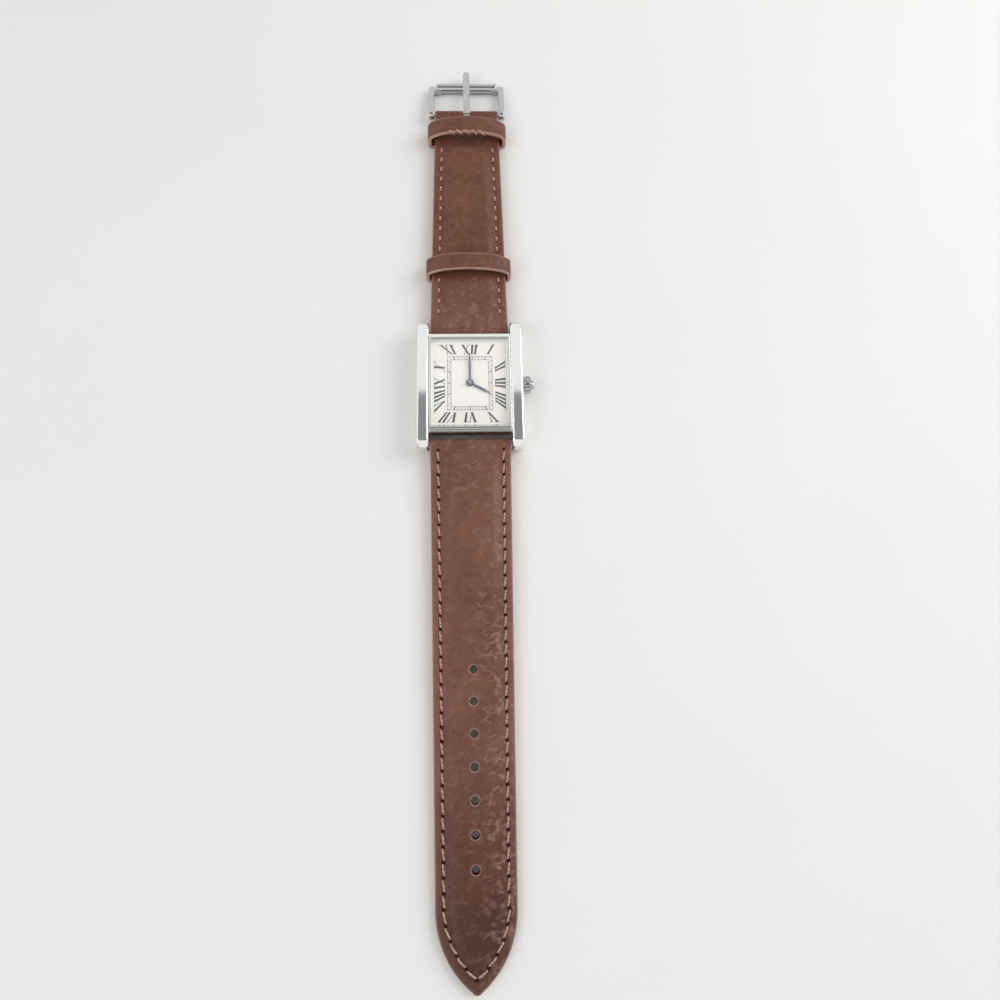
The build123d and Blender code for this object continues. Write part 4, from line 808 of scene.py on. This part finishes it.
# %% Punches and cuts
def ring_faces(rings, sides, flip=False, closed=False):
    """Faces between rings of points, whose ends are capped or else joined to each other."""
    grid = np.arange(rings * sides).reshape(rings, sides)
    first, last = grid[0].tolist(), grid[-1].tolist()
    round_once = np.hstack([grid, grid[:, :1]])
    faces = quads(np.vstack([round_once, round_once[:1]]) if closed else round_once)
    if flip:
        faces = [[a, d, c, b] for a, b, c, d in faces]
    if not closed:
        faces += [first, last[::-1]] if flip else [first[::-1], last]
    return faces


def rod_points(centre, axis, radius, half_length, sides=32):
    """Points and faces of a round punch along an axis."""
    side_a = Vector(axis).orthogonal().normalized()
    side_b = Vector(axis).cross(side_a)
    points = []
    for end in (-half_length, half_length):
        for k in range(sides):
            turn = 2 * math.pi * k / sides
            spoke = radius * (math.cos(turn) * side_a + math.sin(turn) * side_b)
            points.append(Vector(centre) + spoke + end * Vector(axis))
    return points, ring_faces(2, sides)


def block_points(low, high):
    """Points and faces of a straight-sided cutter."""
    points = [(x, y, z) for z in (low[2], high[2]) for y in (low[1], high[1])
              for x in (low[0], high[0])]
    faces = [(0, 2, 3, 1), (4, 5, 7, 6), (0, 1, 5, 4), (2, 6, 7, 3), (0, 4, 6, 2), (1, 3, 7, 5)]
    return points, faces


def joined(name, parts):
    """One piece from many lists of points and faces."""
    points, faces = [], []
    for part_points, part_faces in parts:
        faces += [[len(points) + i for i in face] for face in part_faces]
        points += [tuple(p) for p in part_points]
    return new_piece(name, points, faces)


def cut(piece, cutters):
    """Take the cutters away from a piece, for good."""
    cutter = joined("cutter", cutters)
    modifier = piece.modifiers.new("cut", "BOOLEAN")
    modifier.object = cutter
    modifier.operation = "DIFFERENCE"
    modifier.solver = "EXACT"
    with bpy.context.temp_override(object=piece, active_object=piece, selected_objects=[piece]):
        bpy.ops.object.modifier_apply(modifier=modifier.name)
    bpy.data.meshes.remove(cutter.data)


hole_radius = 0.92
hole_places = [53.9 + 7.0 * k for k in range(7)]
hole_punches = [
    rod_points((0, -lug_bar_y - at, 1), (0, 0, 1), hole_radius, half_length=4) for at in hole_places
]


def line_holes(piece):
    """Paint the walls of the punched holes dark: painted shade inside each hole."""
    piece.data.materials.append(hole_wall_shade)
    for face in piece.data.polygons:
        for at in hole_places:
            reach = math.hypot(face.center.x / MM, face.center.y / MM + lug_bar_y + at)
            if reach < hole_radius * 1.01 and abs(face.normal.z) < 0.4:
                face.material_index = 1


print("buckle holes:", len(hole_places), "from", hole_places[0], "to", hole_places[-1], "mm")

# %% [markdown]
# ## The layers of a strap half
# The upper is one skin: rounded at its cut edge, wrapped round the spring bar at the case end,
# and hollow below for the pad. Its height drops to a small radius at the rim, which is what
# catches a thin line of light along each side. The felt pad and the lining fill the rest, as in
# the real strap, so the punched holes show their layers. Both halves are made like this, so the
# functions below take either one: its width, its skin, its floor and its punches.

# %% Functions for upper, pad and lining
skin_thickness = 1.0
lining_thickness = 0.7
clearance = 0.05
pad_margin = 3.6
pad_room = 0.7
lap_start = 2.05
edge_radius = 0.45
end_rows = -loop_radius * np.cos(np.radians(np.linspace(6, 84, 12)))


def rounded_rim(z, distance):
    """Lower the skin along its cut edge by a small radius."""
    inside = np.clip(edge_radius - distance, 0, edge_radius)
    return z - (edge_radius - half_circle(edge_radius, inside))


def nearest(x, s, points):
    """Distance from each grid point to the nearest of some points."""
    best = np.full(x.shape, 1e3)
    for px, ps in points:
        rows = np.abs(s[:, 0] - ps) < 1.5
        best[rows] = np.minimum(best[rows], np.hypot(x[rows] - px, s[rows] - ps))
    return best


def awl_dents(x, s, stitches, reach, depth, size, darkness, dark_size):
    """How deep the skin is dented where the awl went through, and how much shade is painted there."""
    step = stitches[:, 2:] * reach
    to_awl = nearest(x, s, np.concatenate([stitches[:, :2] + step, stitches[:, :2] - step]))
    dents = depth * bell(to_awl, 0, size) * (s > 1)
    return dents, np.clip(darkness * bell(to_awl, 0, dark_size, 4) * (s > 1), 0, 1)


def underside(s, floor):
    """The bottom of the upper: round the bar, then up onto the lining."""
    level = np.interp(s, *floor) + lining_thickness * (s >= lap_start)
    return np.where(s < 0, bar_height - half_circle(loop_radius, s), level)


def hollowed(half, rows, pad_end):
    """The grid below an upper, raised to the inside of the skin where the pad lies."""
    x, s = as_grid(rows, low_shares, half.width)
    hollow = smooth_rise(half.edge(x, s), pad_margin, 0.6) * (s > 3.0) * (s < pad_end)
    low = half.underside(s)
    roof = np.maximum(half.skin(x, s) - skin_thickness, low)
    return x, s, low + (roof - low) * hollow


def finish_layer(piece, half, cutters, slot_name, *replaced):
    """Cut a layer, shade it, put it on its body and line the holes that are punched in it."""
    if cutters:
        cut(piece, cutters)
    soften(piece)
    wear(piece, half.body, slot_name, *replaced)
    if half.punches:
        line_holes(piece)


def add_pad(half, rows, node):
    """The felt pad, which stays clear of the walls of the hollow it fills."""
    x, s = as_grid(rows, np.linspace(-1, 1, 25), lambda at: half.width(at) - (pad_margin + pad_room))
    floor = np.interp(s, *half.floor) + lining_thickness + clearance
    roof = np.maximum(half.skin(x, s) - skin_thickness - clearance, floor + 0.1)
    pad = shell(half.body + "_pad", (x, s, roof), (x, s, floor), half.direction)
    finish_layer(pad, half, half.punches, "padding", node)


def add_lining(half, rows, node):
    """The thin leather that lies on the wrist, its lower edge a little rounded."""
    x, s = as_grid(rows, low_shares, half.width)
    floor = np.interp(s, *half.floor)
    round_under = rounded_rim(np.zeros_like(x), half.edge(x, s))
    layer = shell(
        half.body + "_lining", (x, s, floor + lining_thickness - 0.03),
        (x * 0.995, s, floor - round_under * 0.5), half.direction
    )
    finish_layer(layer, half, half.punches, "lining_leather", node)


print("rows round a wrapped end:", len(end_rows), "skin", skin_thickness, "mm thick")

# %% [markdown]
# ## The long half
# Here the layers get their sizes: rows every fifth of a millimetre for the skin, a rim pushed
# up round every punched hole, and a pale line along the edge and round each hole, partly rubbed
# wear and partly painted highlight.

# %% Long upper, pad and lining
def long_underside(s):
    return underside(s, long_half.floor)


long_half = SimpleNamespace(
    body="long_strap", direction=-1, width=long_half_width, edge=long_edge_distance, skin=long_skin,
    underside=long_underside, floor=((0, 9, long_end), (0.65, 0, 0)), punches=hole_punches,
)
long_rows = np.concatenate([
    end_rows, np.arange(0, 2.0, 0.2), [2.0, lap_start], np.arange(2.2, 119.7, 0.2), [119.7, 119.8, 119.86],
])
x, s = as_grid(long_rows, spread_columns(9.3), long_half_width)
distance = long_edge_distance(x, s)
# The dents are relief; the dark share in each awl hole is painted shade.
dents, awl_hole_shade = awl_dents(
    x, s, long_stitches, reach=1.4, depth=0.34, size=0.38, darkness=1.2, dark_size=0.42
)
to_hole = np.min([np.hypot(x, s - at) for at in hole_places], axis=0)
height = rounded_rim(long_skin(x, s), distance) - dents
height = height + 0.07 * bell(to_hole, 1.5, 0.4)
height = height - 0.1 * bell(to_hole, 0.9, 0.25)
height = np.maximum(height, long_underside(s) + 0.2 * (s > 0))
# Pale along the cut edge and round each hole: partly rubbed wear, partly painted highlight, the glint a
# rim catches.
rim_wear_and_glint = np.maximum(0.45 * bell(distance, 0, 0.28), 0.95 * bell(to_hole, 1.02, 0.13))
long_upper = shell(
    "long_strap_upper", (x, s, height), hollowed(long_half, long_rows, 116), -1,
    {"awl_hole_shade": awl_hole_shade, "rim_wear_and_glint": rim_wear_and_glint + 0.1 * bell(distance, 0, 2.0, 4)},
)
bar_cut = rod_points((0, -lug_bar_y, bar_height), (1, 0, 0), bar_bore, half_length=12)
finish_layer(long_upper, long_half, hole_punches + [bar_cut], "brown_leather", "strap_long_upper")
add_pad(long_half, np.arange(3.6, 112.0, 0.4), "strap_long_padding")
lining_rows = np.concatenate([np.arange(2.1, 119.7, 0.3), [119.8, 119.86]])
add_lining(long_half, lining_rows, "strap_long_lining")

# %% [markdown]
# ## The short half
# The short half is built the same way, and then its end folds round the buckle pin and is glued
# back under itself. Its pad stops before the fixed keeper, so the last stretch is thin and
# supple. The slot in the fold is where the tongue swings, and the upper and its folded tab are
# one piece of skin, so one mesh stands for both CAD solids.

# %% Short upper with its folded end, pad and lining
tab_top = 1.2
pin_bore = 0.65


def short_underside(s):
    level = np.where(s >= fold_start, tab_top, underside(s, short_half.floor))
    return np.where(s > pin_s, pin_height - half_circle(fold_radius, s - pin_s), level)


short_half = SimpleNamespace(
    body="short_strap", direction=1, width=short_half_width, edge=short_edge_distance, skin=short_skin,
    underside=short_underside, floor=((0, 9, pin_s), (0.65, tab_top, tab_top)), punches=[],
)
short_rows = np.concatenate([
    end_rows, np.arange(0, 2.0, 0.2), [2.0, lap_start], np.arange(2.2, fold_start - 0.1, 0.2),
    [fold_start - 0.02, fold_start], np.arange(fold_start + 0.2, pin_s, 0.2),
    pin_s + fold_radius * np.sin(np.radians(np.linspace(0, 84, 10))),
])
x, s = as_grid(short_rows, spread_columns(9.4), short_half_width)
distance = short_edge_distance(x, s)
# The dents are relief; the dark share in each awl hole is painted shade, as on the long half.
dents, awl_hole_shade = awl_dents(
    x, s, short_stitches, reach=0.75, depth=0.28, size=0.3, darkness=0.8, dark_size=0.3
)
height = rounded_rim(short_skin(x, s), distance) - dents
height = np.maximum(height, short_underside(s) + 0.2 * ((s > 0) & (s < pin_s)))
# A pale edge, partly rubbed wear and partly painted highlight.
short_upper = shell(
    "short_strap_upper", (x, s, height), hollowed(short_half, short_rows, 54.0), 1,
    {"awl_hole_shade": awl_hole_shade, "rim_wear_and_glint": 0.45 * bell(distance, 0, 0.28)},
)
finish_layer(short_upper, short_half, [
    rod_points((0, lug_bar_y, bar_height), (1, 0, 0), bar_bore, half_length=12),
    rod_points((0, lug_bar_y + pin_s, pin_height), (1, 0, 0), pin_bore, half_length=12),
    block_points((-1.02, lug_bar_y + 64.92, 0), (1.02, lug_bar_y + 69, 5)),
], "brown_leather", "strap_short_upper", "strap_short_tab")
add_pad(short_half, np.arange(3.6, 53.0, 0.4), "strap_short_padding")
lining_rows = np.append(np.arange(2.1, fold_start - 0.1, 0.3), fold_start - 0.05)
add_lining(short_half, lining_rows, "strap_short_lining")

# %% [markdown]
# ## The stitching
# Each stitch is a short length of thread that comes up through one hole and goes down through
# the next, a little slanted, as a saddle stitch lies. It is a small tube along a low arch that
# dives into the skin at both ends. All the stitches of one half are one mesh. They take their
# height from the same function as the skin, so they lie on it at every place.

# %% Stitches as small arched tubes
def tube(path, radius, flat=1.0, sides=8, axis=None):
    """Points and faces of a tube along a path, which may wind round an axis at (y, z)."""
    points = []
    for i, here in enumerate(path):
        along = (path[min(i + 1, len(path) - 1)] - path[max(i - 1, 0)]).normalized()
        if axis:
            beside = Vector((0, here.y - axis[0], here.z - axis[1])).normalized()
            lift = along.cross(beside)
        else:
            beside = along.cross(Vector((0, 0, 1))).normalized()
            lift = beside.cross(along)
        for k in range(sides):
            turn = 2 * math.pi * k / sides
            points.append(here + radius * (math.cos(turn) * beside + flat * math.sin(turn) * lift))
    return points, ring_faces(len(path), sides)


def lay_thread(name, runs, body):
    """One piece of waxed thread from all its short runs."""
    piece = joined(name, runs)
    soften(piece, degrees=80)
    wear(piece, body, "brown_leather", finish=waxed_thread)


def thread_runs(stitches, half, reach, lift, sink, radius, slant):
    """One arched tube for each stitch, slanted and lying on the skin."""
    runs = []
    for mx, ms, tx, ts in stitches:
        lean = math.radians(slant) * (1 if mx > 0 else -1)
        dx = tx * math.cos(lean) - ts * math.sin(lean)
        ds = tx * math.sin(lean) + ts * math.cos(lean)
        surface = skin_at(half.skin, mx, ms)
        path = []
        for share in np.linspace(-1, 1, 9):
            px, ps = mx + dx * reach * share, ms + ds * reach * share
            z = 0.5 * (surface + skin_at(half.skin, px, ps)) + lift - sink * abs(share)**5
            path.append(Vector((px, half.direction * (lug_bar_y + ps), z)))
        runs.append(tube(path, radius, flat=0.8))
    return runs


long_runs = thread_runs(
    long_stitches, long_half, reach=1.12, lift=0.17, sink=0.42, radius=0.24, slant=8
)
lay_thread("long_strap_stitches", long_runs, "long_strap")
short_runs = thread_runs(
    short_stitches, short_half, reach=0.52, lift=0.14, sink=0.34, radius=0.3, slant=5
)
lay_thread("short_strap_stitches", short_runs, "short_strap")

# %% [markdown]
# ## The glass
# The crystal is a flat pane, cut to the window, with small rounded corners and a polished
# bevel round its upper edge. On the real watch it sits a hair above its metal ledge, on glue
# and on the lip of its seal. Two surfaces at the very same height would fight in the render,
# so the pane is made here, from a block with two bevels, and floats those few hundredths.

# %% Crystal
def bevelled_pane(node, name, lift, corner, bevel):
    """A pane as large as its CAD solid, raised a little off its ledge."""
    low, high = (v.copy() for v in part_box(node))
    low.z += lift * MM
    middle, size = (low + high) / 2, high - low
    pane = bmesh.new()
    bmesh.ops.create_cube(pane, size=1.0)
    for vertex in pane.verts:
        vertex.co = middle + Vector([a * b for a, b in zip(vertex.co, size)])
    upright = [e for e in pane.edges if abs(e.verts[0].co.z - e.verts[1].co.z) > size.z / 2]
    bmesh.ops.bevel(pane, geom=upright, offset=corner * MM, segments=8, profile=0.5,
                    affect="EDGES")
    rim = [e for e in pane.edges if min(v.co.z for v in e.verts) > high.z - size.z / 10]
    bmesh.ops.bevel(pane, geom=rim, offset=bevel * MM, segments=1, profile=0.5, affect="EDGES")
    mesh = bpy.data.meshes.new(name)
    pane.to_mesh(mesh)
    pane.free()
    return in_scene(name, mesh)


glass_pane = bevelled_pane("crystal", "cut_crystal", lift=0.03, corner=0.35, bevel=0.1)
wear(glass_pane, "case", "mineral_glass", "crystal")

# %% [markdown]
# ## The keepers
# Each keeper is a strip of calf sewn into a loop: flat where it passes under the strap and
# arched over it, to leave room for the long half. It is swept round that loop as a strip with
# softly rounded corners. Its cut edges are burnished, not dyed, so they get the paler finish,
# which is partly painted light: paler still, to make up for the shade on those upright faces.

# %% Keeper loops
keeper_shoulder = 3.3
keeper_corner = 1.5
fixed_keeper_wall = 1.1
burnished_from = 0.455


def rounded_off(value, power):
    """A sine or cosine pushed outward, which squares a circle but leaves its corners soft."""
    return math.copysign(abs(value)**power, value)


def keeper_loop(node, name, wall, floor, body):
    """A band swept round the section that its CAD solid has."""
    low, high = (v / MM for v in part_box(node))
    half, width = (high.x - low.x) / 2, high.y - low.y
    centre_x, middle_y = (low.x + high.x) / 2, (low.y + high.y) / 2
    flat = half - keeper_corner
    outline = []
    for turn in np.linspace(-math.pi / 2, 0, 9):
        outline.append((flat + keeper_corner * math.cos(turn),
                        low.z + keeper_corner + keeper_corner * math.sin(turn)))
    for turn in np.linspace(0, math.pi / 2, 45):
        outline.append((half * math.cos(turn),
                        keeper_shoulder + (high.z - keeper_shoulder) * math.sin(turn)))
    rise = np.array(outline)
    bottom = np.linspace(-flat, flat, 12)[1:-1]
    outline = np.concatenate([
        rise, rise[-2::-1] * (-1, 1), np.stack([bottom, np.full(10, low.z)], axis=1),
    ])
    run = np.roll(outline, -1, axis=0) - np.roll(outline, 1, axis=0)
    inward = np.stack([-run[:, 1], run[:, 0]], axis=1) / np.linalg.norm(run, axis=1)[:, None]
    profile = [
        (rounded_off(math.cos(turn), 0.22), rounded_off(math.sin(turn), 0.45))
        for turn in np.linspace(0, 2 * math.pi, 28, endpoint=False)
    ]
    points = []
    for (px, pz), (nx, nz) in zip(outline, inward):
        thick = floor if nz > 0.9 and pz < low.z + 0.1 else wall
        for across_share, depth_share in profile:
            depth = thick * (0.5 - 0.5 * depth_share)
            points.append((centre_x + px + nx * depth, middle_y + width / 2 * across_share,
                           pz + nz * depth))
    faces = ring_faces(len(outline), len(profile), flip=True, closed=True)
    piece = new_piece(name, points, faces)
    soften(piece, degrees=60)
    wear(piece, body, "brown_leather", node)
    piece.data.materials.append(cut_edge)
    for face in piece.data.polygons:
        if abs(face.center.y / MM - middle_y) > burnished_from * width:
            face.material_index = 1


keeper_loop("keeper_free", "free_keeper_band", wall=1.0, floor=1.0, body="free_keeper")
keeper_loop(
    "keeper_fixed", "fixed_keeper_band", wall=fixed_keeper_wall, floor=1.2, body="short_strap"
)

# %% [markdown]
# The fixed keeper's loop is closed by five slanting stitches that bind its near edge. Each one
# goes over the edge, from the top of the band round to its inside.

# %% Binding stitches of the fixed keeper
def binding_runs(node, count, pitch):
    """Short lengths of thread that wrap the band's near edge."""
    low, high = (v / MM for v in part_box(node))
    half, middle_x = (high.x - low.x) / 2, (low.x + high.x) / 2
    runs = []
    for k in range(count):
        start = (k - (count - 1) / 2) * pitch
        path = []
        for share in np.linspace(0, 1, 13):
            px = start - 0.75 + 1.5 * share
            top = keeper_shoulder + (high.z - keeper_shoulder) * math.sqrt(1 - (px / half)**2)
            over = float(smooth_rise(np.array(share), 0.0, 0.5))
            down = float(smooth_rise(np.array(share), 0.35, 0.65))
            y = low.y + 0.22 - 0.32 * over + 0.2 * down * (share > 0.9)
            z = top + 0.12 - 0.3 * (share < 0.04) - (fixed_keeper_wall + 0.1) * down
            path.append(Vector((middle_x + px, y, z)))
        runs.append(tube(path, radius=0.3, flat=0.85))
    return runs


lay_thread("fixed_keeper_stitches", binding_runs("keeper_fixed", count=5, pitch=2.0), "short_strap")

# %% [markdown]
# ## The coil and the springs
# The motor's coil is thousands of turns of wire thinner than a hair. Turns that fine can't
# show, so the winding is a ridged sleeve whose ridges are drawn about four times as wide. The
# springs in the bars are real helices, so each is a tube along a helix.

# %% Coil winding and spring-bar springs
def winding(node, name, ridge_pitch, ridge_height, body, sides=24, ridge_steps=6):
    """A ridged sleeve along X, hollow for its core."""
    low, high = (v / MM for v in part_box(node))
    core_low, core_high = (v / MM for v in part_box("coil_core"))
    middle = (low + high) / 2
    steps = int((high.x - low.x) / ridge_pitch * ridge_steps)
    points = []
    for i in range(steps + 1):
        px = low.x + (high.x - low.x) * i / steps
        ridge = 0.5 + 0.5 * math.cos(2 * math.pi * i / ridge_steps)
        r = (high.z - low.z) / 2 - ridge_height * ridge
        for k in range(sides):
            turn = 2 * math.pi * k / sides
            points.append((px, middle.y + r * math.cos(turn), middle.z + r * math.sin(turn)))
    piece = new_piece(name, points, ring_faces(steps + 1, sides, flip=True))
    room = Vector((low.x - high.x, clearance, clearance)) / 2
    cut(piece, [block_points(core_low - room, core_high + room)])
    soften(piece, degrees=70)
    wear(piece, body, "copper_wire", node)


def bar_springs(node, name, turns, wire, body, turn_steps=14):
    """A helix in each spring bar, along X."""
    low, high = (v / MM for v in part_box(node))
    middle = (low + high) / 2
    radius = (high.z - low.z) / 2 - wire / 2
    coils = []
    for side in (-1, 1):
        path = []
        for i in range(turns * turn_steps + 1):
            share = i / (turns * turn_steps)
            turn = 2 * math.pi * turns * share
            px = low.x + wire / 2 + (high.x - low.x - wire) * share
            path.append(Vector((px, side * lug_bar_y + radius * math.cos(turn),
                                middle.z + radius * math.sin(turn))))
        coils.append(tube(path, wire / 2, sides=6, axis=(side * lug_bar_y, middle.z)))
    piece = joined(name, coils)
    soften(piece, degrees=80)
    wear(piece, body, "brushed_steel", node)


winding("coil_winding", "coil_winding_turns", ridge_pitch=0.16, ridge_height=0.05, body="case")
bar_springs("spring_bar_springs", "spring_bar_coils", turns=18, wire=0.16, body="case")
